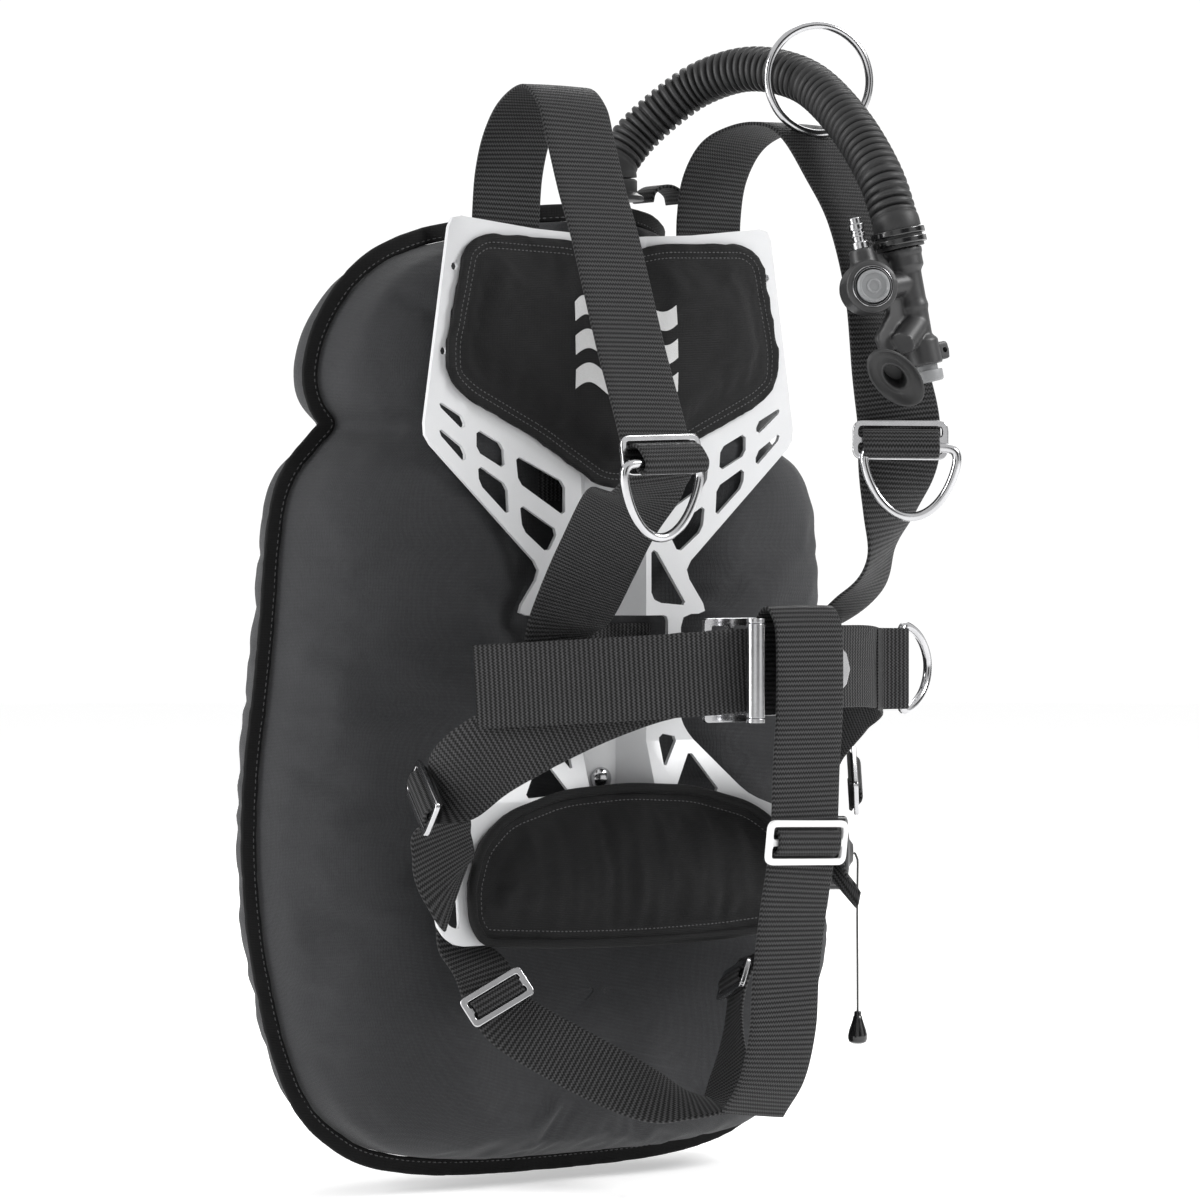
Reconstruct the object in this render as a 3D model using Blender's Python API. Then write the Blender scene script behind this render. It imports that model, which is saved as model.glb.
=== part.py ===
"""Backplate-and-wing buoyancy compensator, built from separate solids.

Lengths below are in millimetres and become metres as each mesh is made. Z is up, -Y is the wearer's
side and +X is the wearer's left. The origin is on the tank seat: the back of the wing's centre panel,
on the spine line, half way between the two plate bolts.
"""
import math

import bmesh
import bpy
from mathutils import Matrix, Vector

MM = 0.001

# Driving dimensions
PLATE_FRONT = -26.0          # front face of the plate's flanges
PLATE_THICK = 3.0
CHANNEL_DEPTH = 15.0         # the spine channel stands back from the flanges by this much
CHANNEL_FLOOR = 12.0         # half width of the channel floor
CHANNEL_EDGE = 25.0          # half width of the channel at the flanges
BOLT_SPACING = 279.4
WEB_WIDTH = 50.0
WEB_THICK = 2.2
TANK_RADIUS = 92.0
BAND_RADIUS = 93.4
BAND_HEIGHTS = (60.0, -67.0)
SHELL = 1.8
BLADDER_SHRINK = 0.7
BLADDER_TOP = 145.0
HOSE_RADIUS = 14.0
RING_WIRE = 2.75
VALVE_AXIS = Vector((0.82, -0.57, 0)).normalized()
VALVE_SEAT = Vector((176, -7, -193))


# ---------------------------------------------------------------- helpers

def clear_scene():
    for old in list(bpy.data.objects):
        bpy.data.objects.remove(old, do_unlink=True)


def finish_material(name, colour, roughness, metallic=0.0):
    mat = bpy.data.materials.new(name)
    mat.use_nodes = True
    shader = mat.node_tree.nodes["Principled BSDF"]
    shader.inputs["Base Color"].default_value = (*colour, 1.0)
    shader.inputs["Roughness"].default_value = roughness
    shader.inputs["Metallic"].default_value = metallic
    mat.diffuse_color = (*colour, 1.0)
    return mat


def to_object(name, bm, mat, pivot=(0.0, 0.0, 0.0), smooth=True):
    """Turn a mesh in millimetres into an object whose origin is at pivot."""
    bmesh.ops.remove_doubles(bm, verts=bm.verts, dist=1e-4)
    bmesh.ops.translate(bm, vec=-Vector(pivot), verts=bm.verts)
    bmesh.ops.scale(bm, vec=(MM, MM, MM), verts=bm.verts)
    bmesh.ops.recalc_face_normals(bm, faces=bm.faces)
    mesh = bpy.data.meshes.new(name)
    bm.to_mesh(mesh)
    bm.free()
    mesh.materials.append(mat)
    if smooth:
        mesh.shade_smooth()
        mesh.set_sharp_from_angle(angle=math.radians(35))
    obj = bpy.data.objects.new(name, mesh)
    obj.location = Vector(pivot) * MM
    bpy.context.scene.collection.objects.link(obj)
    return obj


def smooth_route(points, step, closed=False):
    """Points about step apart on a Catmull-Rom curve through the given points."""
    pts = [Vector(p) for p in points]
    count = len(pts)
    spans = count if closed else count - 1
    out = []
    for i in range(spans):
        if closed:
            a, b, c, d = (pts[(i + k) % count] for k in (-1, 0, 1, 2))
        else:
            b, c = pts[i], pts[i + 1]
            a = pts[i - 1] if i > 0 else b + (b - c)
            d = pts[i + 2] if i + 2 < count else c + (c - b)
        pieces = max(1, round((c - b).length / step))
        for k in range(pieces):
            t = k / pieces
            out.append((b * 2 + (c - a) * t + (a * 2 - b * 5 + c * 4 - d) * t * t
                        + (b * 3 - a - c * 3 + d) * t ** 3) / 2)
    if not closed:
        out.append(pts[-1])
    return out


def sweep(bm, rings, closed=False):
    """Skin a list of equal point rings into a closed tube."""
    rows = [[bm.verts.new(p) for p in ring] for ring in rings]
    sides = len(rows[0])
    spans = len(rows) if closed else len(rows) - 1
    for i in range(spans):
        low, high = rows[i], rows[(i + 1) % len(rows)]
        for k in range(sides):
            n = (k + 1) % sides
            bm.faces.new((low[k], low[n], high[n], high[k]))
    if not closed:
        bm.faces.new(list(reversed(rows[0])))
        bm.faces.new(rows[-1])


def ribbon(name, route, mat, width=WEB_WIDTH, thick=WEB_THICK, step=15.0, closed=False):
    """Webbing along a route of (x, y, z, width direction)."""
    places = smooth_route([r[:3] for r in route], step, closed)
    hints = smooth_route([Vector(r[3]) * 100 for r in route], 1e9, closed)
    keys = [Vector(r[:3]) for r in route]
    rings = []
    for i, p in enumerate(places):
        if closed:
            tangent = places[(i + 1) % len(places)] - places[i - 1]
        else:
            tangent = places[min(i + 1, len(places) - 1)] - places[max(i - 1, 0)]
        tangent.normalize()
        near = sorted(range(len(keys)), key=lambda k: (keys[k] - p).length)[:2]
        far = [(keys[k] - p).length + 1e-6 for k in near]
        hint = (hints[near[0]] * far[1] + hints[near[1]] * far[0]) / (far[0] + far[1])
        across = (hint - tangent * hint.dot(tangent)).normalized()
        normal = tangent.cross(across)
        w = across * (width / 2)
        n = normal * (thick / 2)
        rings.append([p - w - n, p + w - n, p + w + n, p - w + n])
    bm = bmesh.new()
    sweep(bm, rings, closed)
    return to_object(name, bm, mat, smooth=False)


def frame_at(origin, axis, across):
    """Matrix whose local Z is axis and local X is near across, at origin."""
    z = Vector(axis).normalized()
    x = Vector(across)
    x = (x - z * x.dot(z)).normalized()
    y = z.cross(x)
    turn = Matrix((x, y, z)).transposed().to_4x4()
    return Matrix.Translation(Vector(origin)) @ turn


def turned_mesh(profile, place, segments=20, oval=1.0):
    """Closed solid turned from (radius, height) points about the local Z of place."""
    bm = bmesh.new()
    rings = []
    for radius, height in profile:
        if radius < 1e-6:
            rings.append([bm.verts.new(place @ Vector((0, 0, height)))])
            continue
        ring = []
        for k in range(segments):
            a = 2 * math.pi * k / segments
            ring.append(bm.verts.new(place @ Vector((radius * oval * math.cos(a),
                                                     radius * math.sin(a), height))))
        rings.append(ring)
    open_ended = len(rings[0]) == 1 and len(rings[-1]) == 1
    for i in range(len(rings) - (1 if open_ended else 0)):
        a, b = rings[i], rings[(i + 1) % len(rings)]
        for k in range(segments):
            n = (k + 1) % segments
            corners = [a[k % len(a)], a[n % len(a)], b[n % len(b)], b[k % len(b)]]
            unique = []
            for v in corners:
                if v not in unique:
                    unique.append(v)
            if len(unique) > 2:
                bm.faces.new(unique)
    return bm


def turned(name, profile, place, mat, segments=20, oval=1.0):
    bm = turned_mesh(profile, place, segments, oval)
    return to_object(name, bm, mat, pivot=place.translation)


def rounded(corners, radius, steps=3):
    """Round every corner of a closed 2-D outline with an arc of about radius."""
    out = []
    count = len(corners)
    for i in range(count):
        p = Vector(corners[i])
        back = Vector(corners[i - 1]) - p
        ahead = Vector(corners[(i + 1) % count]) - p
        reach = min(radius, back.length * 0.4, ahead.length * 0.4)
        a = p + back.normalized() * reach
        b = p + ahead.normalized() * reach
        for k in range(steps + 1):
            t = k / steps
            out.append(a * (1 - t) ** 2 + p * 2 * t * (1 - t) + b * t * t)
    return out


def flat_mesh(outline, holes=()):
    """Filled face in the XY plane with holes."""
    bm = bmesh.new()
    for loop in (outline, *holes):
        verts = [bm.verts.new((p[0], p[1], 0)) for p in loop]
        for i, v in enumerate(verts):
            bm.edges.new((v, verts[(i + 1) % len(verts)]))
    bmesh.ops.triangle_fill(bm, use_beauty=True, use_dissolve=False, edges=bm.edges)
    return bm


def thicken(bm, depth):
    """Extrude every face of an open sheet by the vector depth."""
    top = bmesh.ops.extrude_face_region(bm, geom=bm.faces[:])
    moved = [g for g in top["geom"] if isinstance(g, bmesh.types.BMVert)]
    bmesh.ops.translate(bm, vec=depth, verts=moved)


def slab(name, outline, holes, thick, place, mat, pivot=None):
    """Flat piece: the outline with holes, thick along the local Z of place."""
    bm = flat_mesh(outline, holes)
    thicken(bm, (0, 0, thick))
    bmesh.ops.transform(bm, matrix=place, verts=bm.verts)
    return to_object(name, bm, mat, pivot=pivot or place.translation)


def box_outline(width, height, radius=2.0):
    w, h = width / 2, height / 2
    return rounded([(-w, -h), (w, -h), (w, h), (-w, h)], radius, 2)


def shifted(outline, dx, dy):
    return [(p[0] + dx, p[1] + dy) for p in outline]


def wire_ring(name, path, normal, mat, radius=RING_WIRE, sides=6, pivot=(0, 0, 0)):
    """Round wire along a closed plane path whose plane has the given normal."""
    normal = Vector(normal).normalized()
    pts = [Vector(p) for p in path]
    rings = []
    for i, p in enumerate(pts):
        tangent = (pts[(i + 1) % len(pts)] - pts[i - 1]).normalized()
        side = tangent.cross(normal)
        ring = []
        for k in range(sides):
            a = 2 * math.pi * k / sides
            ring.append(p + side * (radius * math.cos(a)) + normal * (radius * math.sin(a)))
        rings.append(ring)
    bm = bmesh.new()
    sweep(bm, rings, closed=True)
    return to_object(name, bm, mat, pivot=pivot)


def coil(name, radius, wire, turns, height, place, mat):
    """Helical spring rising along the local Z of place."""
    per_turn, sides = 9, 4
    total = turns * per_turn
    rings = []
    for i in range(total + 1):
        a = 2 * math.pi * i / per_turn
        out = Vector((math.cos(a), math.sin(a), 0))
        p = out * radius + Vector((0, 0, wire + (height - 2 * wire) * i / total))
        ring = []
        for k in range(sides):
            b = 2 * math.pi * k / sides
            ring.append(place @ (p + out * (wire * math.cos(b))
                                 + Vector((0, 0, wire * math.sin(b)))))
        rings.append(ring)
    bm = bmesh.new()
    sweep(bm, rings)
    return to_object(name, bm, mat, pivot=place.translation)


def tube(name, route, radius, mat, step, resolution=3):
    """Round cord or hose: a bevelled POLY curve with filled caps."""
    pts = smooth_route(route, step)
    curve = bpy.data.curves.new(name, "CURVE")
    curve.dimensions = "3D"
    curve.bevel_depth = radius * MM
    curve.bevel_resolution = resolution
    curve.use_fill_caps = True
    spline = curve.splines.new("POLY")
    spline.points.add(len(pts) - 1)
    for point, p in zip(spline.points, pts):
        point.co = (*(p * MM), 1.0)
    curve.materials.append(mat)
    obj = bpy.data.objects.new(name, curve)
    bpy.context.scene.collection.objects.link(obj)
    return obj


def boolean(obj, other, operation):
    other.hide_render = True
    other.display_type = "WIRE"
    step = obj.modifiers.new(other.name, "BOOLEAN")
    step.operation = operation
    step.solver = "EXACT"
    step.object = other


def smoothstep(low, high, x):
    t = min(1.0, max(0.0, (x - low) / (high - low)))
    return t * t * (3 - 2 * t)


# ---------------------------------------------------------------- backplate and pads

def plate_y(x, z):
    """Front face of the folded plate: spine channel back, hip frame forward."""
    wall = min(1.0, max(0.0, (CHANNEL_EDGE - abs(x)) / (CHANNEL_EDGE - CHANNEL_FLOOR)))
    flange = PLATE_FRONT - hip_forward(z)
    floor = PLATE_FRONT + CHANNEL_DEPTH - 0.3 * max(0.0, -151 - z)
    return flange + (floor - flange) * wall


def hip_forward(z):
    if z > -116:
        return 0.0
    if z > -151:
        return 12.0 * (-116 - z) / 35
    return 12.0 + 14.0 * min(1.0, (-151 - z) / 59) + 0.1 * max(0.0, -210 - z)


def mirrored(half):
    """Close a right-hand outline, given top to bottom, with its mirror image."""
    return list(half) + [(-x, z) for x, z in reversed(half) if x > 0.01]


def fold(bm, y_of):
    """Cut a sheet lying in XY along the fold lines and lift it into XZ, folded."""
    for x in (-CHANNEL_EDGE, -CHANNEL_FLOOR, CHANNEL_FLOOR, CHANNEL_EDGE):
        bmesh.ops.bisect_plane(bm, geom=bm.verts[:] + bm.edges[:] + bm.faces[:],
                               plane_co=(x, 0, 0), plane_no=(1, 0, 0), dist=1e-4)
    for z in (-116, -151, -210):
        bmesh.ops.bisect_plane(bm, geom=bm.verts[:] + bm.edges[:] + bm.faces[:],
                               plane_co=(0, z, 0), plane_no=(0, 1, 0), dist=1e-4)
    for v in bm.verts:
        x, z = v.co.x, v.co.y
        v.co = Vector((x, y_of(x, z), z))


def circle(x, z, radius, count=10):
    return [(x + radius * math.cos(2 * math.pi * k / count),
             z + radius * math.sin(2 * math.pi * k / count)) for k in range(count)]


def backplate(mat):
    half = [(0, 200), (60, 203), (122, 210), (142, 74), (54, -8), (74, -36), (52, -36.5), (52, -103),
            (57, -111), (96, -151), (128, -163), (150, -186), (150, -224), (138, -236), (0, -236)]
    outline = rounded(mirrored(half), 8.0, 2)
    one_side = [
        [(130, 95), (111, 85), (112, 77), (130, 92)],
        [(130, 79), (111, 66), (111, 57), (130, 75)],
        [(103, 79), (83, 69), (82, 54), (103, 65)],
        [(102, 57), (80, 44), (79, 25), (101, 45)],
        [(74, 63), (37, 46), (37, 25), (72, 46)],
        [(71, 33), (42, 16), (50, 2), (69, 17)],
        [(29, 4), (33, 4), (57, -31), (34, -29), (29, -25)],
        [(35, -111), (50, -114), (35, -134)],
        [(57, -122), (75, -149), (40, -147)],
    ]
    holes = [rounded([(-42, -37), (42, -37), (42, -103), (-42, -103)], 3.5, 2)]
    for side in (1, -1):
        for shape in one_side:
            holes.append(rounded([(side * x, z) for x, z in shape], 3.0, 1))
        holes.append(rounded([(side * x, z) for x, z in
                              [(133.5, -178), (142, -185), (142, -223), (133.5, -226)]], 3.0, 2))
        holes.append(circle(side * 119, 178, 2.6, 8))
        holes.append(circle(side * 127, 126, 2.6, 8))
    for z in (BOLT_SPACING / 2, -BOLT_SPACING / 2):
        holes.append(circle(0, z, 4.6, 12))
    bm = flat_mesh(outline, holes)
    fold(bm, plate_y)
    thicken(bm, (0, PLATE_THICK, 0))
    return to_object("backplate", bm, mat, smooth=False)


def back_pad(mat):
    half = [(0, 190), (35, 197), (100, 199), (114, 190), (127, 130), (126, 109), (112, 97), (60, 72),
            (12, 43)]
    bm = flat_mesh(rounded(mirrored(half), 8.0), ())
    for v in bm.verts:
        v.co = Vector((v.co.x, PLATE_FRONT - 0.4, v.co.y))
    thicken(bm, (0, -11.0, 0))
    return to_object("back_pad", bm, mat, smooth=False)


def lumbar_pad(mat):
    half = [(0, -142), (50, -145), (94, -157), (117, -175), (129, -203), (129, -222), (121, -235),
            (60, -239), (16, -240)]
    bm = flat_mesh(rounded(mirrored(half), 7.0), ())
    fold(bm, lambda x, z: PLATE_FRONT - hip_forward(z) - 0.5)
    thicken(bm, (0, -12.0, 0))
    return to_object("lumbar_pad", bm, mat, smooth=False)


def plate_fasteners(steel):
    for name, z in (("upper", BOLT_SPACING / 2), ("lower", -BOLT_SPACING / 2)):
        floor = PLATE_FRONT + CHANNEL_DEPTH - 0.3
        place = frame_at((0, floor, z), (0, -1, 0), (1, 0, 0))
        depth = -(floor + 1.0)
        shape = [(0, -depth), (4, -depth), (4, 0), (7.5, 0), (7.3, 2), (5.2, 3.9), (0, 4.6)]
        turned("plate_bolt_" + name, list(reversed(shape)), place, steel, 14)
        place = frame_at((0, -0.4, z), (0, -1, 0), (1, 0, 0))
        turned("wing_grommet_" + name, [(4.4, 0), (7, 0), (7, 4.2), (4.4, 4.2)], place, steel, 14)


# ---------------------------------------------------------------- wing

WING_HALF = [(0, 211), (41, 209), (71, 202), (110, 190), (133, 178), (151, 161), (166, 137), (172, 113),
             (168, 96), (159, 82), (171, 68), (185, 53), (194, 35), (199, 6), (203, -41), (208, -85),
             (214, -130), (216, -180), (212, -230), (205, -266), (196, -300), (180, -337), (158, -358),
             (131, -371), (81, -379), (0, -381)]
PANEL_TOP, PANEL_BOTTOM = 120.0, -270.0
BINDING = 11.0
SEAM_DEPTH = 49.0
LOBE_POWER = 2.5


def tank_wall(x, z, clearance):
    """Furthest back the wing may reach at x, so that the cylinder fits between the lobes."""
    radius = TANK_RADIUS + clearance * smoothstep(20, 50, abs(x))
    wall = TANK_RADIUS - math.sqrt(max(0.0, radius ** 2 - x * x)) if abs(x) < radius else 400.0
    free = 1 - smoothstep(-375, -315, z)
    return wall + free * 130.0


def seam_y(x, z):
    """Depth of the edge seam."""
    wall = TANK_RADIUS - math.sqrt(max(0.0, 99.0 ** 2 - min(99.0, abs(x)) ** 2)) + 1.0
    behind_tank = min(SEAM_DEPTH, wall)
    free = 1 - smoothstep(-375, -300, z)
    return behind_tank + (45.0 - behind_tank) * free


def wing_outline():
    """Edge seam as (x, z) points, all the way round."""
    half = [Vector((x, z, 0)) for x, z in WING_HALF]
    other = [Vector((-p.x, p.y, 0)) for p in reversed(half) if 0 < p.x]
    return smooth_route(half + other, 60.0, closed=True)


def spine_room(x, z):
    """Furthest forward the wing may reach behind the plate's spine channel."""
    return -5.2 - 25.0 * smoothstep(26, 46, abs(x)) - 15.0 * smoothstep(150, 190, -z)


def valve_dent(p):
    """Flatten the skin to the valve's seat plane near the valve."""
    offset = p - VALVE_SEAT
    height = offset.dot(VALVE_AXIS)
    reach = (offset - VALVE_AXIS * height).length
    limit = -1.6 + 40.0 * smoothstep(46, 90, reach)
    return p - VALVE_AXIS * max(0.0, height - limit)


def fullness(t):
    """Rounded profile of an inflated lobe, from 1 at its crown to 0 at the seam."""
    return max(0.0, 1 - t ** LOBE_POWER) ** (1 / LOBE_POWER)


def wing_surface(level, edge, front):
    """Point of the wing skin at level 0 (centre panel) to 1 (edge seam)."""
    x1, z1 = edge.x, edge.y
    spine = Vector((0, min(PANEL_TOP, max(PANEL_BOTTOM, z1)), 0))
    inner = spine + (edge - spine) * 0.22
    x = inner.x + (x1 - inner.x) * level
    z = inner.y + (z1 - inner.y) * level
    seam = seam_y(x1, z1)
    if front:
        lobe = -18.0
        if level < 0.25:
            y = -5.2 + (lobe + 5.2) * smoothstep(0, 0.25, level)
        else:
            y = seam + (lobe - seam) * fullness((level - 0.25) / 0.75)
        return valve_dent(Vector((x, max(y, spine_room(x, z)), z)))
    back = min(116.0, seam + 66.0)
    if level < 0.45:
        y = back * smoothstep(0, 0.45, level)
    else:
        y = seam + (back - seam) * fullness((level - 0.45) / 0.55)
    return Vector((x, min(y, tank_wall(x, z, 8.0)), z))


FRONT_LEVELS = (0.0, 0.12, 0.25, 0.5, 0.68, 0.82, 0.93, 0.985)
BACK_LEVELS = (0.0, 0.14, 0.26, 0.36, 0.45, 0.66, 0.82, 0.93, 0.985)


def wing_shell(name, front, mat, cutters):
    """One thin skin of the wing with the band slots and bolt holes cut through its panel."""
    outline = wing_outline()
    levels = FRONT_LEVELS if front else BACK_LEVELS
    rows = [[wing_surface(level, p, front) for p in outline] for level in levels]
    count = len(outline)
    inward = 1.0 if front else -1.0
    rows[-1] = [p + Vector((0, -inward * 0.5, 0)) for p in rows[-1]]
    inner_rows = []
    for i, row in enumerate(rows):
        inner = []
        for k, p in enumerate(row):
            along = row[(k + 1) % count] - row[k - 1]
            out = rows[min(i + 1, len(rows) - 1)][k] - rows[max(i - 1, 0)][k]
            normal = along.cross(out).normalized()
            if normal.y * inward < 0:
                normal = -normal
            if i == 0:
                normal = Vector((0, inward, 0))
            if i == len(rows) - 1:
                normal = (Vector((0, 0, 0)) - Vector((p.x, 0, p.z))).normalized()
            inner.append(p + normal * SHELL)
        inner_rows.append(inner)
    bm = bmesh.new()
    skins = []
    for grid in (rows, inner_rows):
        verts = [[bm.verts.new(p) for p in row] for row in grid]
        for low, high in zip(verts, verts[1:]):
            for k in range(count):
                n = (k + 1) % count
                bm.faces.new((low[k], low[n], high[n], high[k]))
        bm.faces.new(verts[0])
        skins.append(verts)
    outer_rim, inner_rim = skins[0][-1], skins[1][-1]
    for k in range(count):
        n = (k + 1) % count
        bm.faces.new((outer_rim[k], outer_rim[n], inner_rim[n], inner_rim[k]))
    shell = to_object(name, bm, mat)
    for cutter in cutters:
        boolean(shell, cutter, "DIFFERENCE")
    return shell


def wing_cutters(mat):
    """One cutter that holds the four band slots and the two bolt holes, all apart."""
    bm = bmesh.new()
    for z in BAND_HEIGHTS:
        for side in (1, -1):
            made = bmesh.ops.create_cube(bm, size=1.0)
            bmesh.ops.scale(bm, vec=(28, 60, WEB_WIDTH + 6), verts=made["verts"])
            bmesh.ops.translate(bm, vec=(side * 48, 0, z), verts=made["verts"])
    for z in (BOLT_SPACING / 2, -BOLT_SPACING / 2):
        made = bmesh.ops.create_cone(bm, cap_ends=True, segments=14, radius1=7.5, radius2=7.5, depth=40)
        bmesh.ops.rotate(bm, cent=(0, 0, 0), matrix=Matrix.Rotation(math.pi / 2, 3, "X"),
                         verts=made["verts"])
        bmesh.ops.translate(bm, vec=(0, 0, z), verts=made["verts"])
    return to_object("wing_slot_cutter", bm, mat, smooth=False)


def wing_bladder(mat):
    """Air cell: a horseshoe that fills the lobes, open at the top, clear of both skins."""
    rings = []
    for p in wing_outline():
        if p.y > BLADDER_TOP:
            continue
        ring = [wing_surface(level, p, True) for level in (0.45, 0.55, 0.68, 0.82)]
        ring += [wing_surface(level, p, False) for level in (0.82, 0.76, 0.7, 0.64)]
        middle = sum(ring, Vector((0, 0, 0))) / len(ring)
        rings.append([middle + (q - middle) * BLADDER_SHRINK for q in ring])
    bm = bmesh.new()
    sweep(bm, rings)
    return to_object("wing_bladder", bm, mat)


def wing_binding(mat):
    """Tape round the edge seam."""
    rings = []
    outline = wing_outline()
    for i, p in enumerate(outline):
        along = (outline[(i + 1) % len(outline)] - outline[i - 1]).normalized()
        out = Vector((along.y, -along.x, 0))
        if out.dot(p - Vector((0, p.y * 0.5, 0))) < 0:
            out = -out
        y = seam_y(p.x, p.y)
        low = p + out * 0.8
        high = p + out * BINDING
        rings.append([Vector((low.x, y - 1.6, low.y)), Vector((high.x, y - 1.2, high.y)),
                      Vector((high.x, y + 1.2, high.y)), Vector((low.x, y + 1.6, low.y))])
    bm = bmesh.new()
    sweep(bm, rings, closed=True)
    return to_object("wing_edge_binding", bm, mat, smooth=False)


# ---------------------------------------------------------------- tank bands

def tank_band(name, height, mat):
    """Webbing loop: in front of the wing panel, through its slots and round the cylinder."""
    flat = -6.6
    route = [(0, flat), (20, flat), (36, flat), (43, -4.5), (50, 5)]
    start, stop, steps = math.radians(41), math.radians(180), 12
    for k in range(steps + 1):
        a = start + (stop - start) * k / steps
        route.append((BAND_RADIUS * math.sin(a), TANK_RADIUS - BAND_RADIUS * math.cos(a)))
    route += [(-x, y) for x, y in reversed(route[1:-1])]
    up = (0, 0, 1)
    return ribbon(name, [(x, y, height, up) for x, y in route], mat, step=16.0, closed=True)


def cam_buckle(tag, height, steel, plastic):
    """Toothed frame on the band's back and the lever that closes it."""
    back = TANK_RADIUS + BAND_RADIUS + WEB_THICK / 2 + 2.2
    place = frame_at((0, back, height), (0, 1, 0), (1, 0, 0))
    holes = [shifted(box_outline(12, 52, 1.5), dx, 0) for dx in (-16, 16)]
    slab("cam_frame_" + tag, box_outline(56, 64, 4), holes, 3.0, place, steel)
    pin = (-29.5, back + 4.5, height)
    lever = frame_at((-29.5, back + 3.5, height), (0, 1, 0), (1, 0, 0))
    outline = shifted(box_outline(51, 56, 5), 24, 0)
    hole = shifted(box_outline(22, 34, 3), 28, 0)
    slab("cam_lever_" + tag, outline, [hole], 3.5, lever, plastic, pivot=pin)


# ---------------------------------------------------------------- harness

X_AXIS = (1, 0, 0)
UP = (0, 0, 1)
FACING = (0.82, -0.57, 0)
SHOULDER_RIGHT = [
    (-79, -21.5, 186, X_AXIS), (-78, -21.5, 214, X_AXIS), (-78, -25, 238, X_AXIS), (-79, -36, 260, X_AXIS),
    (-80, -54, 277, X_AXIS), (-80, -78, 285, X_AXIS), (-81, -97, 273, X_AXIS), (-82, -107, 253, X_AXIS),
    (-82, -120, 220, X_AXIS), (-82, -134, 190, X_AXIS), (-82, -159, 127, X_AXIS), (-82, -187, 60, X_AXIS),
    (-79, -173, 40, X_AXIS), (-72, -137, 28, (0.74, -0.52, -0.4)), (-60, -93, -2, (0.74, -0.52, -0.43)),
    (-51, -56, -32, (0.9, -0.3, -0.3)), (-47, -34, -50, X_AXIS), (-46, -29, -66, X_AXIS)]
SHOULDER_LEFT = [
    (77, -21.5, 186, X_AXIS), (77, -21.5, 214, X_AXIS), (78, -27, 240, X_AXIS), (80, -44, 260, X_AXIS),
    (84, -72, 269, X_AXIS), (86, -100, 268, X_AXIS), (87, -119, 258, X_AXIS), (88, -140, 234, X_AXIS),
    (88, -164, 203, X_AXIS), (88, -181, 157, X_AXIS), (88, -194, 110, (0.92, -0.35, 0)),
    (88, -202, 71, FACING), (88, -193, 28, (0.9, 0.2, 0)), (88, -184, 2, (0.8, 0.6, 0)),
    (86, -166, -22, (0.85, 0.5, -0.1)), (76, -138, -42, (0.87, 0.45, 0)), (62, -95, -54, (0.9, 0.4, 0)),
    (53, -60, -56, (0.95, 0.2, 0)), (47, -36, -57, X_AXIS), (46, -29, -70, X_AXIS)]
BELT_RIGHT = [
    (-139, -58, -205, (0.1, 0, 1)), (-147, -63, -197, (0.2, 0, 0.97)), (-156, -68, -173, (0.3, -0.1, 0.95)),
    (-159, -76, -147, (0.2, -0.1, 0.95)), (-151, -95, -125, (-0.3, 0.2, 0.9)),
    (-131, -119, -106, (-0.4, 0.3, 0.85)), (-105, -141, -89, (-0.2, 0.1, 0.95)), (-80, -158, -77, UP),
    (-60, -167, -71, UP), (-48, -173, -69, UP)]
BELT_LEFT = [
    (143, -63, -205, (-0.1, -0.1, 1)), (147, -69, -197, (0.2, 0.5, 0.8)), (139, -75, -172, (0.6, 0.8, 0.1)),
    (131, -80, -142, (0.6, 0.8, 0.15)), (122, -94, -110, (0.2, 0.5, 0.85)), (119, -120, -86, UP),
    (115, -148, -72, UP), (90, -172, -67, UP), (50, -187, -66, UP), (12, -194, -66, UP),
    (-22, -195, -67, UP), (-50, -187, -69, UP), (-80, -172, -71, UP), (-107, -152, -73, UP),
    (-132, -128, -75, UP), (-155, -103, -77, UP)]
CROTCH = [
    (14, -187.8, -66, (0.99, 0.1, 0)), (14, -187.8, -42, (0.99, 0.1, 0)), (14, -191, -34, X_AXIS),
    (14, -199, -30, X_AXIS),
    (14, -206, -37, X_AXIS), (14, -209, -50, X_AXIS), (14, -209, -90, X_AXIS), (14, -206, -125, X_AXIS),
    (14, -203, -170, X_AXIS), (11, -197, -212, X_AXIS), (10, -191, -252, X_AXIS), (10, -188, -284, X_AXIS),
    (8, -180, -314, X_AXIS), (4, -166, -336, X_AXIS)]
LEG_RIGHT = [
    (-125, -43, -224, X_AXIS), (-124, -44.5, -238, X_AXIS), (-120, -57, -251, (0.97, -0.1, 0.15)),
    (-116, -65, -268, (0.88, -0.1, 0.4)), (-106, -73, -283, (0.75, -0.1, 0.6)),
    (-84, -93, -300, (0.5, 0, 0.8)), (-62, -112, -315, (0.4, 0.2, 0.85)),
    (-43, -127, -326, (0.35, 0.5, 0.75)), (-24, -138, -331, (0.3, 0.85, 0.35)),
    (-8, -145, -332, (0.2, 0.95, 0.1))]
LEG_LEFT = [
    (76, -70, -250, (0.4, 0.85, 0.1)), (64, -72, -266, (0.4, 0.85, 0.1)),
    (54, -78, -294, (0.4, 0.85, 0.1)), (40, -92, -318, (0.3, 0.85, 0.3)), (26, -110, -335, (0.2, 0.9, 0.3)),
    (14, -122, -340, (0.2, 0.95, 0.1))]


def on_strap(route, index, lift, side=1):
    """Place on a strap: local Z stands off its face by lift, local X runs across it."""
    p = Vector(route[index][:3])
    tangent = (Vector(route[index + 1][:3]) - Vector(route[index - 1][:3])).normalized()
    across = Vector(route[index][3])
    across = (across - tangent * across.dot(tangent)).normalized()
    normal = across.cross(tangent) * side
    return frame_at(p + normal * (WEB_THICK / 2 + lift), normal, across)


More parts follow.
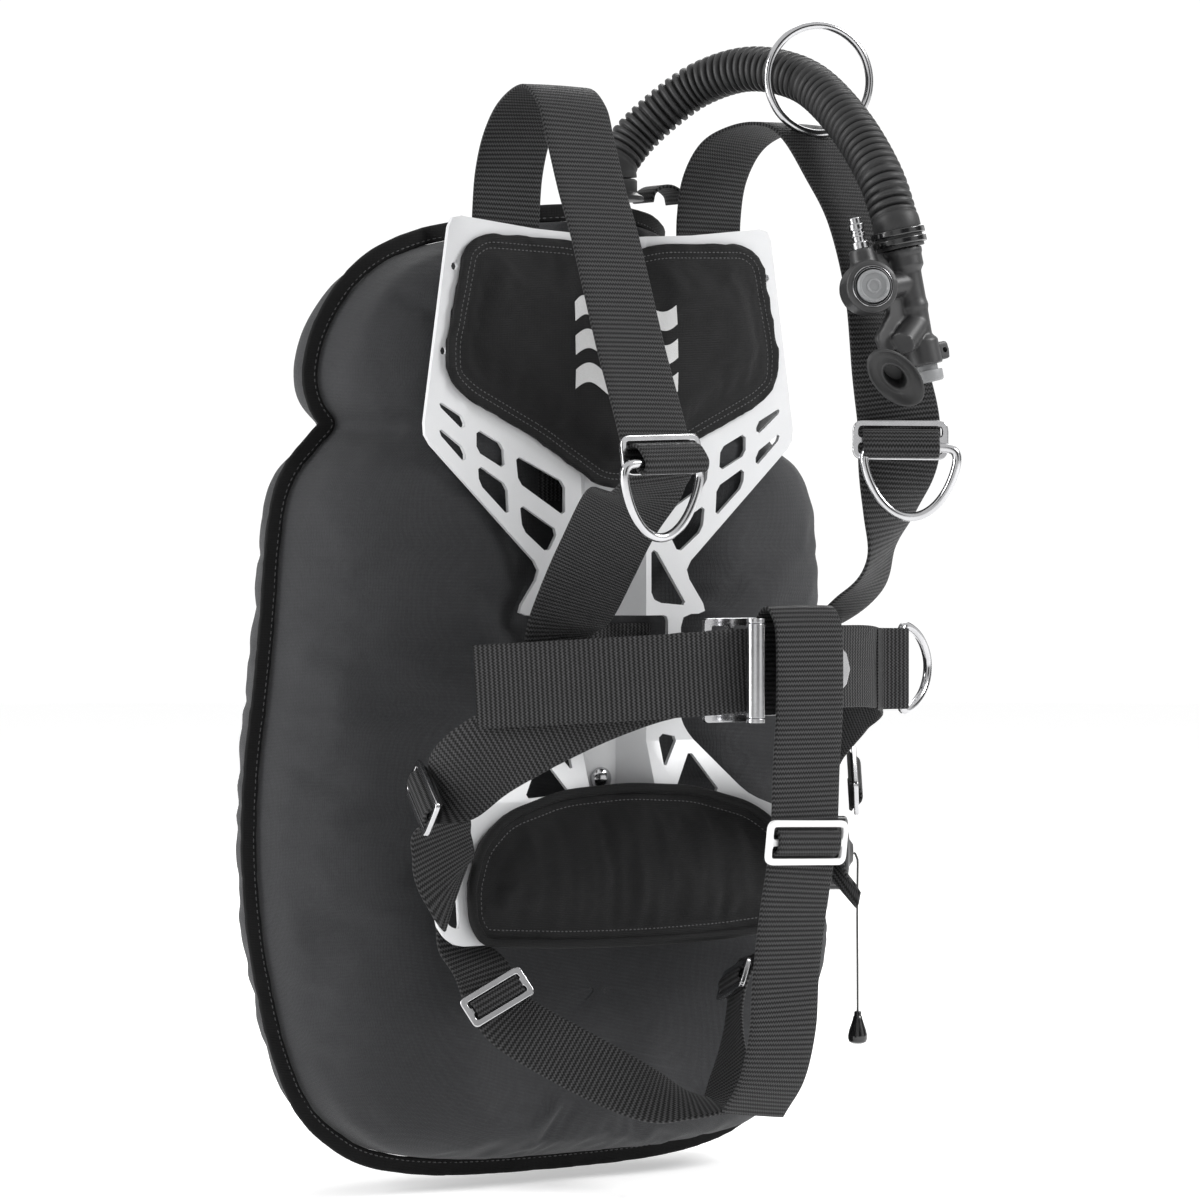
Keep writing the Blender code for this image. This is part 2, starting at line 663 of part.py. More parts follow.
def tri_glide(name, place, mat, width=58.0, height=24.0, bar=4.0, thick=3.0):
    """Flat slide with two windows and a centre bar."""
    window = box_outline(width - 2 * bar, (height - 3 * bar) / 2, 1.2)
    offset = (height - bar) / 4 + bar / 4
    holes = [shifted(window, 0, offset), shifted(window, 0, -offset)]
    return slab(name, box_outline(width, height, 3.0), holes, thick, place, mat)


def d_ring(name, bar_centre, across, hang, mat, width=54.0, depth=48.0):
    """D-shaped wire ring: straight bar along across, bow in the direction hang."""
    centre = Vector(bar_centre)
    x = Vector(across).normalized()
    down = Vector(hang)
    down = (down - x * down.dot(x)).normalized()
    half = width / 2
    path = []
    steps = 11
    for k in range(steps + 1):
        a = math.pi * (0.05 + 0.9 * k / steps)
        path.append(centre + x * (half * math.cos(a)) + down * (depth * math.sin(a) - depth * 0.16))
    return wire_ring(name, path, x.cross(down), mat, pivot=centre)


def harness(webbing, steel, white):
    ribbon("shoulder_strap_right", SHOULDER_RIGHT, webbing)
    ribbon("shoulder_strap_left", SHOULDER_LEFT, webbing)
    ribbon("waist_belt_right", BELT_RIGHT, webbing)
    ribbon("waist_belt_left", BELT_LEFT, webbing)
    ribbon("crotch_strap", CROTCH, webbing)
    ribbon("leg_strap_right", LEG_RIGHT, webbing, width=38.0)
    ribbon("leg_strap_left", LEG_LEFT, webbing, width=38.0)
    tri_glide("chest_slider_right", on_strap(SHOULDER_RIGHT, 11, 1.5, -1), steel)
    tri_glide("chest_slider_left", on_strap(SHOULDER_LEFT, 11, 5.5, -1), steel)
    d_ring("chest_d_ring_right", (-89, -202, 55), X_AXIS, (0, 0.05, -1), steel, width=58.0, depth=52.0)
    d_ring("chest_d_ring_left", (83, -219, 66), FACING, (0, 0.02, -1), steel, width=60.0, depth=50.0)
    lowered = Matrix.Translation((0, 0, -10))
    tri_glide("shoulder_end_slider_right", lowered @ on_strap(SHOULDER_RIGHT, 16, 9.0, -1), steel, width=60.0)
    tri_glide("shoulder_end_slider_left", on_strap(SHOULDER_LEFT, 17, 2.0), steel, width=60.0)
    tri_glide("hip_slider_right", on_strap(BELT_RIGHT, 3, 12.0, -1), steel)
    tri_glide("hip_slider_left", on_strap(BELT_LEFT, 3, 12.0, 1), steel)
    tri_glide("crotch_slider", on_strap(CROTCH, 8, 0.8, -1), white, width=60.0, height=27.0)
    tri_glide("leg_slider_right", on_strap(LEG_RIGHT, 3, 2.5, -1), steel, width=46.0, height=20.0)
    tri_glide("leg_slider_left", on_strap(LEG_LEFT, 1, 1.5), steel, width=46.0, height=20.0)


def waist_ring(steel, webbing):
    """D-ring on the wearer's left of the belt and the webbing loop that holds its bar."""
    out = Vector((0.83, -0.55, 0))
    base = Vector((118, -150, -69)) + out * 6.0
    d_ring("waist_d_ring", base + out * 4.0, UP, (0.9, 0.43, 0), steel, width=56.0, depth=46.0)
    along = Vector((0.55, 0.83, 0))
    route = [base - out * 3.6 - along * 12, base - out * 3.4 - along * 2, base - out * 2.6 + along * 8]
    ribbon("waist_ring_keeper", [(*p, UP) for p in route], webbing, thick=1.6, step=6.0)


def belt_buckle(steel):
    """Frame behind the belt, vertical roller, and the lever that locks the belt's free end."""
    place = frame_at((-27, -183.8, -67), (0, -1, 0), X_AXIS)
    window = shifted(box_outline(12, 53, 1.5), -9, 0)
    other = shifted(box_outline(12, 53, 1.5), 7, 0)
    slab("buckle_frame", box_outline(40, 62, 3.0), [window, other], 3.0, place, steel)
    pin = Vector((-22, -203.5, -67))
    place = frame_at(pin - Vector((0, 0, 31)), UP, X_AXIS)
    turned("buckle_roller", [(0, 0), (5.5, 0), (5.5, 62), (0, 62)], place, steel, 16)
    half = 17.0
    outline = [(0, -27), (14, -27), (24, -half), (50, -half)]
    outline += [(50 + half * math.sin(a), -half * math.cos(a)) for a in (0.5, 1.0, 1.57, 2.14, 2.64)]
    outline += [(50, half), (24, half), (14, 27), (0, 27)]
    place = frame_at(pin + Vector((6.2, 4.4, 0)), (0, -1, 0), X_AXIS)
    slab("buckle_lever", outline, (), 2.0, place, steel, pivot=pin)


# ---------------------------------------------------------------- hose and inflator

INFLATOR = frame_at((88, -210, 167), (-0.17, 0.12, 0.975), X_AXIS)
HOSE_END = 20.0
HOSE = [(20, 2, 239), (20, 2, 247), (34, -1, 266), (50, -14, 285), (64, -31, 299), (75, -59, 306),
        (82, -88, 303), (86, -120, 291), (85, -158, 264), (82, -190, 232)]


def local(x, y, z):
    return tuple(INFLATOR @ Vector((x, y, z)))


def hose_parts(rubber, plastic, steel):
    turned("hose_elbow", [(9.5, 0), (19, 0), (19, 3), (14, 5), (12.5, 13.6), (9.5, 13.6)],
           frame_at((20, 2, 225), UP, X_AXIS), plastic, 18)
    route = HOSE + [local(0, 0, HOSE_END + 18), local(0, 0, HOSE_END + 9), local(0, 0, HOSE_END)]
    tube("corrugated_hose", route, HOSE_RADIUS, rubber, step=13.0, resolution=3)
    for name, z in (("lower", 2.0), ("upper", 7.5)):
        low = HOSE_END + z
        turned("hose_tie_" + name, [(14.8, low), (16.4, low), (16.4, low + 4), (14.8, low + 4)],
               frame_at(INFLATOR.translation, INFLATOR.col[2].to_3d(), X_AXIS), plastic, 18)
    ring = []
    centre = Vector((90, -119, 296))
    flat = Vector((0.954, -0.3, 0))
    for k in range(20):
        a = 2 * math.pi * k / 20
        ring.append(centre + flat * (33.5 * math.cos(a)) + Vector((0, 0, 33.5 * math.sin(a))))
    wire_ring("hose_ring", ring, flat.cross(Vector(UP)), steel, radius=2.5,
              pivot=centre - Vector((0, 0, 33.5)))


def inflator(plastic, grey, steel, black):
    axis = INFLATOR.col[2].to_3d()
    main = frame_at(INFLATOR.translation, axis, X_AXIS)
    body = turned("inflator_body", [(0, 19.6), (12.5, 19.6), (12.5, 8), (8.5, 5), (8.5, -34), (10.5, -38),
                                    (10.5, -52), (0, -52)], main, plastic, 18)
    face = Vector((-0.42, -0.9, 0.05)).normalized()
    hub = Vector(local(-33, -2, 0))
    housing = turned("inflator_housing_form", [(0, 12), (15, 12), (16, 10), (16, -12), (0, -12)],
                     frame_at(hub, face, X_AXIS), plastic, 20)
    arm = turned("inflator_arm_form", [(0, 31), (7.2, 31), (7.2, 0), (0, 0)],
                 frame_at(local(-32, -1, -1), Vector(local(0, 0, 0)) - Vector(local(-33, 0, 0)), UP),
                 plastic, 12)
    mouth_axis = Vector((-0.42, -0.8, -0.42)).normalized()
    mouth = Vector(local(-39, -14, -47))
    neck = turned("inflator_neck_form", [(0, 24), (7.5, 24), (7.5, 0), (0, 0)],
                  frame_at(local(0, 0, -26), mouth - Vector(local(0, 0, -26)), X_AXIS), plastic, 14)
    boss = turned("inflator_boss_form", [(0, 22), (7.6, 22), (9.1, 10), (9.1, 0.5), (0, 0.5)],
                  frame_at(local(-29, 2, 2), axis, X_AXIS), plastic, 14)
    for form in (housing, arm, neck, boss):
        boolean(body, form, "UNION")
    bore = turned("inflate_bore_cutter", [(0, 15), (10.6, 15), (10.6, 0), (0, 0)],
                  frame_at(hub, face, UP), plastic, 18)
    low_bore = turned("deflate_bore_cutter", [(0, 14), (7.6, 14), (7.6, -2), (0, -2)],
                      frame_at(local(0, 0, -52), axis, X_AXIS), plastic, 18)
    for cutter in (bore, low_bore):
        boolean(body, cutter, "DIFFERENCE")
    turned("inflate_button", [(0, 6.5), (0, 16), (8.5, 16), (10, 14.5), (10, 6.5)],
           frame_at(hub, face, X_AXIS), grey, 20)
    coil("inflate_spring", 6.0, 0.45, 2, 3.2, frame_at(hub + face * 3.0, face, X_AXIS), steel)
    turned("button_retaining_ring", [(10.9, 12.4), (14.5, 12.4), (14.0, 13.8), (10.9, 13.8)],
           frame_at(hub, face, X_AXIS), steel, 24)
    down = -axis
    turned("deflate_button", [(0, -7), (7, -7), (7, 5), (5.5, 6.5), (0, 6.5)],
           frame_at(local(0, 0, -52), down, X_AXIS), grey, 18)
    coil("deflate_spring", 4.6, 0.45, 2, 3.4, frame_at(local(0, 0, -41.3), down, X_AXIS), steel)
    seat = Vector(local(-29, 2, 24.4))
    turned("lp_nipple", [(0, 0), (5, 0), (5, 4), (3.6, 4), (3.6, 11), (4.8, 11), (4.8, 15), (3.8, 15),
                         (3.8, 19), (0, 19)], frame_at(seat, axis, X_AXIS), steel, 16)
    turned("mouthpiece", [(5, 0), (7.2, 0), (7.2, 9), (12.8, 12), (12.8, 14.5), (5, 14.5)],
           frame_at(mouth + mouth_axis * 8.5, mouth_axis, (0.68, -0.25, -0.78)), black, 22, oval=1.7)


# ---------------------------------------------------------------- dump valve

CORD_DROP = 104.0


def dump_valve(plastic, rubber, steel):
    place = frame_at(VALVE_SEAT, VALVE_AXIS, UP)
    turned("dump_valve_base", [(11, 0), (27, 0), (27, 1.6), (20, 3), (20, 6), (11, 6)], place, plastic, 24)
    turned("dump_valve_cap", [(2.4, 17.5), (2.4, 22.5), (6, 22.5), (9, 20), (22, 19), (24, 17), (24, 6.6),
                              (21, 6.6), (21, 15.5), (3.5, 15.5)], place, plastic, 24)
    turned("dump_poppet", [(0, 2), (10, 2), (10, 4.5), (1.6, 5.5), (1.6, 14), (0, 14)], place, rubber, 18)
    coil("dump_spring", 7.0, 0.6, 3, 6.4, frame_at(VALVE_SEAT + VALVE_AXIS * 5.6, VALVE_AXIS, UP), steel)
    exit_at = VALVE_SEAT + VALVE_AXIS * 23.2
    low = Vector((exit_at.x + 2.2, exit_at.y - 1.6, exit_at.z - CORD_DROP))
    route = [exit_at, exit_at + VALVE_AXIS * 1.2 + Vector((0, 0, -0.8)),
             exit_at + VALVE_AXIS * 2.6 + Vector((0, 0, -4.5)), exit_at + VALVE_AXIS * 2.6 + Vector((0, 0, -14)),
             exit_at + VALVE_AXIS * 2.4 + Vector((0, 0, -40)), exit_at + VALVE_AXIS * 2.6 + Vector((0, 0, -75)),
             low]
    tube("dump_cord", route, 0.75, rubber, step=5.0, resolution=2)
    turned("dump_toggle", [(0, -0.4), (2.6, -0.4), (3.4, -5), (6.2, -13), (6.4, -17), (4.5, -20), (0, -20.5)],
           frame_at(low, UP, X_AXIS), plastic, 14)


def carry_handle(webbing):
    arch = [(44, 4, 225), (46, 4, 231), (53, 4, 235), (61, 4, 235), (68, 4, 231), (70, 4, 225)]
    ribbon("carry_handle", [(x, y, z, (0, 1, 0)) for x, y, z in arch], webbing, width=22.0, step=6.0)


# ---------------------------------------------------------------- assembly

def build():
    clear_scene()
    steel = finish_material("stainless", (0.62, 0.63, 0.64), 0.22, 1.0)
    plate = finish_material("plate_silver", (0.78, 0.79, 0.80), 0.38, 0.15)
    nylon = finish_material("wing_nylon", (0.055, 0.056, 0.06), 0.75)
    pad = finish_material("pad_fabric", (0.02, 0.02, 0.02), 0.9)
    webbing = finish_material("webbing", (0.03, 0.03, 0.032), 0.8)
    cell = finish_material("bladder_film", (0.2, 0.22, 0.26), 0.5)
    rubber = finish_material("hose_rubber", (0.035, 0.035, 0.037), 0.6)
    plastic = finish_material("black_plastic", (0.045, 0.045, 0.047), 0.45)
    grey = finish_material("grey_plastic", (0.16, 0.16, 0.17), 0.5)
    white = finish_material("white_slider", (0.8, 0.8, 0.8), 0.4, 0.1)

    backplate(plate)
    back_pad(pad)
    lumbar_pad(pad)
    plate_fasteners(steel)
    cutter = wing_cutters(nylon)
    wing_shell("wing_front_shell", True, nylon, [cutter])
    wing_shell("wing_back_shell", False, nylon, [cutter])
    wing_bladder(cell)
    wing_binding(webbing)
    carry_handle(webbing)
    for tag, height in zip(("upper", "lower"), BAND_HEIGHTS):
        tank_band("tank_band_" + tag, height, webbing)
        cam_buckle(tag, height, steel, plastic)
    harness(webbing, steel, white)
    waist_ring(steel, webbing)
    belt_buckle(steel)
    hose_parts(rubber, plastic, steel)
    inflator(plastic, grey, steel, plastic)
    dump_valve(plastic, rubber, steel)


build()
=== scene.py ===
"""Looks of the backplate-and-wing buoyancy vest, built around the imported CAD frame.

Lengths in the tables below are millimetres in the CAD frame: Z is up, -Y is the wearer's side and +X is
the wearer's left. They become metres as each mesh is made.
"""

import math

import bmesh
import bpy
import numpy as np
from mathutils import Matrix, Vector, noise
from mathutils.bvhtree import BVHTree


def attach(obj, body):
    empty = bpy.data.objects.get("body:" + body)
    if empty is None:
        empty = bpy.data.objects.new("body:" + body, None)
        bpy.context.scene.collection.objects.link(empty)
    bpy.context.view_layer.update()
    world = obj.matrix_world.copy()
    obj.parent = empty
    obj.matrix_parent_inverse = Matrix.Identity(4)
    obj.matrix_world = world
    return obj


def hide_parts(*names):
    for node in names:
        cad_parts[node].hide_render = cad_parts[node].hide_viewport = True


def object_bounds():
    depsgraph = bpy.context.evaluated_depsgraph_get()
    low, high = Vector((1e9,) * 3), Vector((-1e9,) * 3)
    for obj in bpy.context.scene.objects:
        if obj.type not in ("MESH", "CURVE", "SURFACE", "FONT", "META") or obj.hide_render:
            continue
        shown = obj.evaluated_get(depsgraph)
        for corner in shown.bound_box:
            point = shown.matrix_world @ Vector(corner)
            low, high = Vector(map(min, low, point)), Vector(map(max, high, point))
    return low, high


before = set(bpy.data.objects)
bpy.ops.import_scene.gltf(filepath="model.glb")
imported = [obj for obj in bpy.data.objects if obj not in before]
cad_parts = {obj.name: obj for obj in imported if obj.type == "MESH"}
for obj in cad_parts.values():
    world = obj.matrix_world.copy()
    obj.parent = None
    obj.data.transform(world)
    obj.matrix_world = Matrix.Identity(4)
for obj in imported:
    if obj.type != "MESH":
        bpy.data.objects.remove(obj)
cad_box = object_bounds()

MM = 0.001
X_AXIS = (1, 0, 0)
UP = (0, 0, 1)
ROOT = "vest"
RAY_START = -400.0

# Driving dimensions, the same as the solids'
PLATE_FRONT = -26.0
CHANNEL_DEPTH = 15.0
BOLT_SPACING = 279.4
WEB_WIDTH = 50.0
WEB_THICK = 2.2
TANK_RADIUS = 92.0
BAND_RADIUS = 93.4
BAND_HEIGHTS = {"upper": 60.0, "lower": -67.0}
VALVE_AXIS = Vector((0.82, -0.57, 0)).normalized()
VALVE_SEAT = Vector((176, -7, -193))


# ---------------------------------------------------------------- geometry helpers

def smoothstep(low, high, x):
    t = np.clip((np.asarray(x, float) - low) / (high - low), 0.0, 1.0)
    return t * t * (3 - 2 * t)


def spline(keys, step, closed=False):
    """Rows on a Catmull-Rom curve through keys, about step apart in their first three columns."""
    keys = np.array(keys, float)
    count = len(keys)
    rows = []
    for i in range(count if closed else count - 1):
        b, c = keys[i], keys[(i + 1) % count]
        a = keys[i - 1] if closed or i > 0 else 2 * b - c
        d = keys[(i + 2) % count] if closed or i + 2 < count else 2 * c - b
        pieces = max(1, round(float(np.linalg.norm((c - b)[:3])) / step))
        for k in range(pieces):
            t = k / pieces
            rows.append((2 * b + (c - a) * t + (2 * a - 5 * b + 4 * c - d) * t * t
                         + (3 * b - a - 3 * c + d) * t ** 3) / 2)
    if not closed:
        rows.append(keys[-1])
    return np.array(rows)


def units(rows):
    return rows / np.maximum(np.linalg.norm(rows, axis=-1, keepdims=True), 1e-9)


def tangents(points, closed=False):
    if closed:
        return units(np.roll(points, -1, axis=0) - np.roll(points, 1, axis=0))
    return units(np.gradient(points, axis=0))


def lengths_along(points):
    steps = np.linalg.norm(np.diff(points, axis=0), axis=1)
    return np.concatenate(([0.0], np.cumsum(steps)))


def place_on(origin, axis, across):
    """Matrix at origin whose local Z is axis and whose local X is near across."""
    z = Vector(axis).normalized()
    x = Vector(across)
    x = (x - z * x.dot(z)).normalized()
    turn = Matrix((x, z.cross(x), z)).transposed().to_4x4()
    return Matrix.Translation(Vector(origin)) @ turn


def corners_of(mesh):
    """Vertex positions in millimetres."""
    return np.array([v.co[:] for v in mesh.vertices]) / MM


def move_corners(mesh, x, y, z):
    mesh.vertices.foreach_set("co", (np.stack([x, y, z], axis=1) * MM).ravel())
    mesh.update()


def finer(piece):
    bpy.context.view_layer.update()
    step = piece.modifiers.new("fine", "SUBSURF")
    step.levels = step.render_levels = 1


def round_rings(path, one, two, radius, sides):
    """Circles about the points of a path, in the plane of the directions one and two."""
    angles = 2 * np.pi * np.arange(sides) / sides
    radius = np.broadcast_to(radius, len(path))[:, None]
    return (path[:, None] + one[:, None] * (radius * np.cos(angles))[..., None]
            + two[:, None] * (radius * np.sin(angles))[..., None])


def new_object(name, mesh, material):
    mesh.materials.append(material)
    obj = bpy.data.objects.new(name, mesh)
    bpy.context.scene.collection.objects.link(obj)
    return obj


def from_bmesh(name, bm, material, sharp=35.0):
    """Object from a mesh in millimetres."""
    bmesh.ops.remove_doubles(bm, verts=bm.verts, dist=1e-4)
    bmesh.ops.scale(bm, vec=(MM, MM, MM), verts=bm.verts)
    bmesh.ops.recalc_face_normals(bm, faces=bm.faces)
    mesh = bpy.data.meshes.new(name)
    bm.to_mesh(mesh)
    bm.free()
    mesh.shade_smooth()
    mesh.set_sharp_from_angle(angle=math.radians(sharp))
    return new_object(name, mesh, material)


def skin(name, rings, material, loop=False, uv=None, sharp=50.0):
    """Skin an array of closed sections, rings[n][k]. uv is (across, along) in millimetres."""
    rings = np.asarray(rings, float)
    count, sides = rings.shape[:2]
    faces = []
    corners = []
    for i in range(count if loop else count - 1):
        low, high = i * sides, ((i + 1) % count) * sides
        for k in range(sides):
            n = (k + 1) % sides
            faces.append((low + k, low + n, high + n, high + k))
            corners += [(k, i), (k + 1, i), (k + 1, i + 1), (k, i + 1)]
    if not loop:
        faces.append(tuple(reversed(range(sides))))
        faces.append(tuple((count - 1) * sides + k for k in range(sides)))
        corners += [(k, 0) for k in reversed(range(sides))]
        corners += [(k, count - 1) for k in range(sides)]
    mesh = bpy.data.meshes.new(name)
    mesh.from_pydata((rings.reshape(-1, 3) * MM).tolist(), [], faces)
    if uv is not None:
        across, along = uv
        across = np.append(across, across[0])
        along = np.append(along, along[-1] + (along[-1] - along[-2]))
        layer = mesh.uv_layers.new(name="weave")
        pairs = np.array([(across[k], along[i]) for k, i in corners], np.float32)
        layer.data.foreach_set("uv", pairs.ravel())
    mesh.validate()
    mesh.shade_smooth()
    mesh.set_sharp_from_angle(angle=math.radians(sharp))
    obj = new_object(name, mesh, material)
    face_out(obj)
    return obj


def face_out(obj):
    bm = bmesh.new()
    bm.from_mesh(obj.data)
    bmesh.ops.recalc_face_normals(bm, faces=bm.faces)
    bm.to_mesh(obj.data)
    bm.free()


def bevel(obj, width, segments=2, angle=32.0):
    step = obj.modifiers.new("edge", "BEVEL")
    step.width = width * MM
    step.segments = segments
    step.limit_method = "ANGLE"
    step.angle_limit = math.radians(angle)
    step.harden_normals = False
    return obj


def ribbon_section(width, thick):
    """Section of webbing as (across, through): flat faces with round selvedges."""
    half, r = width / 2, thick / 2
    across = np.linspace(-half + r, half - r, 9)
    top = [(a, r) for a in across]
    right = [(half - r + r * math.cos(t), r * math.sin(t)) for t in (0.9, 0.0, -0.9)]
    bottom = [(a, -r) for a in across[::-1]]
    left = [(-half + r - r * math.cos(t), r * math.sin(t)) for t in (-0.9, 0.0, 0.9)]
    return np.array(top + right + bottom + left)


def ribbon(name, route, material, width=WEB_WIDTH, thick=WEB_THICK, step=3.0, loop=False, crown=0.0):
    """Webbing along a route of (x, y, z, width direction), with its weave laid out in millimetres."""
    keys = [(*r[:3], *(Vector(r[3]).normalized())) for r in route]
    rows = spline(keys, step, loop)
    points, hint = rows[:, :3], rows[:, 3:]
    along = tangents(points, loop)
    across = units(hint - along * np.sum(hint * along, axis=1, keepdims=True))
    normal = np.cross(along, across)
    section = ribbon_section(width, thick)
    bulge = crown * (1 - (2 * section[:, 0] / width) ** 2)
    rings = (points[:, None] + across[:, None] * section[None, :, 0, None]
             + normal[:, None] * (section[:, 1] + bulge)[None, :, None])
    distance = lengths_along(points)
    return skin(name, rings, material, loop=loop, uv=(section[:, 0], distance))


def wire(name, path, normal, radius, material, sides=16):
    """Round wire along a closed plane path."""
    path = np.asarray(path, float)
    normal = np.array(Vector(normal).normalized())
    side = np.cross(tangents(path, True), normal)
    rings = round_rings(path, side, np.broadcast_to(normal, path.shape), radius, sides)
    return skin(name, rings, material, loop=True)


def turned(name, profile, place, material, segments=64, oval=1.0, edge=0.35):
    """Solid turned from closed (radius, height) points about the local Z of place."""
    bm = bmesh.new()
    angles = [2 * math.pi * k / segments for k in range(segments)]
    rings = []
    for radius, height in profile:
        rings.append([bm.verts.new(place @ Vector((radius * oval * math.cos(a),
                                                   radius * math.sin(a), height)))
                      for a in angles])
    for a, b in zip(rings, rings[1:] + rings[:1]):
        for k in range(segments):
            n = (k + 1) % segments
            bm.faces.new((a[k], a[n], b[n], b[k]))
    bmesh.ops.remove_doubles(bm, verts=bm.verts, dist=1e-3)
    obj = from_bmesh(name, bm, material)
    return bevel(obj, edge) if edge else obj


def corners_rounded(corners, radius, steps=6):
    """Round every corner of a closed 2-D outline."""
    out = []
    count = len(corners)
    for i in range(count):
        p = Vector(corners[i])
        back = Vector(corners[i - 1]) - p
        ahead = Vector(corners[(i + 1) % count]) - p
        reach = min(radius, back.length * 0.45, ahead.length * 0.45)
        a = p + back.normalized() * reach
        b = p + ahead.normalized() * reach
        for k in range(steps + 1):
            t = k / steps
            out.append(a * (1 - t) ** 2 + p * 2 * t * (1 - t) + b * t * t)
    return out


def rectangle(width, height, radius=2.0, dx=0.0, dy=0.0):
    w, h = width / 2, height / 2
    corners = corners_rounded([(-w, -h), (w, -h), (w, h), (-w, h)], radius)
    return [(p[0] + dx, p[1] + dy) for p in corners]


def slab(name, outline, holes, thick, place, material, edge=0.7):
    """Flat piece with holes, thick along the local Z of place, with rounded edges."""
    bm = bmesh.new()
    for loop in (outline, *holes):
        verts = [bm.verts.new((p[0], p[1], 0)) for p in loop]
        for i, v in enumerate(verts):
            bm.edges.new((v, verts[(i + 1) % len(verts)]))
    bmesh.ops.triangle_fill(bm, use_beauty=True, use_dissolve=False, edges=bm.edges)
    top = bmesh.ops.extrude_face_region(bm, geom=bm.faces[:])
    lifted = [g for g in top["geom"] if isinstance(g, bmesh.types.BMVert)]
    bmesh.ops.translate(bm, vec=(0, 0, thick), verts=lifted)
    bmesh.ops.transform(bm, matrix=place, verts=bm.verts)
    obj = from_bmesh(name, bm, material)
    return bevel(obj, edge, 3)


def refined(node, material, edge, segments=2):
    """A copy of a CAD node's mesh with rounded edges, to stand for that node."""
    bm = bmesh.new()
    bm.from_mesh(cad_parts[node].data)
    bmesh.ops.remove_doubles(bm, verts=bm.verts, dist=2e-6)
    bmesh.ops.dissolve_limit(bm, angle_limit=math.radians(1.5), verts=bm.verts, edges=bm.edges)
    bmesh.ops.scale(bm, vec=(1 / MM, 1 / MM, 1 / MM), verts=bm.verts)
    obj = from_bmesh(node + "_finish", bm, material)
    bevel(obj, edge, segments)
    return obj


def settle(piece, slot, *nodes, body=ROOT):
    """Attach the piece to its body and hide the CAD nodes it stands for; the slot argument is not used."""
    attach(piece, body)
    if nodes:
        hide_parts(*nodes)
    return piece


def stitches(name, points, normals, material, pitch=3.4, length=2.3, radius=0.34):
    """Thread along a line on a surface: one small spindle for each stitch."""
    points, normals = np.asarray(points, float), np.asarray(normals, float)
    distance = lengths_along(points)
    marks = np.arange(pitch / 2, distance[-1], pitch)

    def at(where, rows):
        return np.stack([np.interp(where, distance, rows[:, k]) for k in range(3)], axis=1)

    out = units(at(marks, normals))
    along = units(at(marks + 0.5, points) - at(marks - 0.5, points))
    side = np.cross(out, along)
    verts, faces = [], []
    angles = 2 * np.pi * np.arange(6) / 6
    for p, n, a, s in zip(at(marks, points), out, along, side):
        first = len(verts)
        for place, size, dip in ((-0.5, 0.35, 0.5), (-0.22, 1.0, 0.0), (0.22, 1.0, 0.0), (0.5, 0.35, 0.5)):
            centre = p + a * (length * place) - n * (radius * dip)
            for t in angles:
                verts.append((centre + s * (radius * size * math.cos(t))
                              + n * (radius * size * math.sin(t))) * MM)
        for ring in range(3):
            for k in range(6):
                n1 = (k + 1) % 6
                low = first + ring * 6
                faces.append((low + k, low + n1, low + 6 + n1, low + 6 + k))
        faces.append(tuple(first + k for k in reversed(range(6))))
        faces.append(tuple(first + 18 + k for k in range(6)))
    mesh = bpy.data.meshes.new(name)
    mesh.from_pydata(verts, [], faces)
    mesh.shade_smooth()
    obj = new_object(name, mesh, material)
    face_out(obj)
    return obj


def evaluated(obj):
    return obj.evaluated_get(bpy.context.evaluated_depsgraph_get())


def surface_of(obj):
    """Tree of an object's evaluated mesh in millimetres, for laying other pieces on it."""
    mesh = evaluated(obj).to_mesh()
    verts = [obj.matrix_world @ v.co / MM for v in mesh.vertices]
    return BVHTree.FromPolygons(verts, [p.vertices[:] for p in mesh.polygons])


def laid(tree, x, z, lift=0.0):
    """Point and normal where a ray along +Y from the wearer's side meets the surface."""
    hit, normal, _, _ = tree.ray_cast(Vector((x, RAY_START, z)), Vector((0, 1, 0)))
    if hit is None:
        return None
    if normal.y > 0:
        normal = -normal
    return hit + normal * lift, normal


def inflate(obj, held, pressure=4.0, cap=6.0, frames=20, slack=0.0, bending=0.5):
    """Blow a closed mesh up as cloth, keep the held vertices, and keep the result as its shape."""
    rest = np.array([v.co[:] for v in obj.data.vertices])
    group = obj.vertex_groups.new(name="held")
    for index, weight in enumerate(held):
        group.add([index], float(weight), "REPLACE")
    cloth = obj.modifiers.new("cloth", "CLOTH")
    settings = cloth.settings
    settings.quality = 5
    settings.mass = 0.3
    settings.tension_stiffness = 15
    settings.compression_stiffness = 15
    settings.shear_stiffness = 5
    settings.bending_stiffness = bending
    settings.use_pressure = True
    settings.uniform_pressure_force = pressure
    settings.vertex_group_mass = "held"
    settings.shrink_min = -slack
    settings.effector_weights.gravity = 0
    cloth.collision_settings.use_collision = False
    scene = bpy.context.scene
    for step in range(1, frames + 1):
        scene.frame_set(step)
    blown = np.array([v.co[:] for v in evaluated(obj).to_mesh().vertices])
    obj.modifiers.remove(cloth)
    scene.frame_set(1)
    shift = blown - rest
    size = np.linalg.norm(shift, axis=1, keepdims=True)
    limit = cap * MM
    shift *= np.where(size > 1e-9, np.tanh(size / limit) * limit / np.maximum(size, 1e-9), 0.0)
    obj.data.vertices.foreach_set("co", (rest + shift).ravel())
    obj.data.update()
    return obj


# ---------------------------------------------------------------- materials

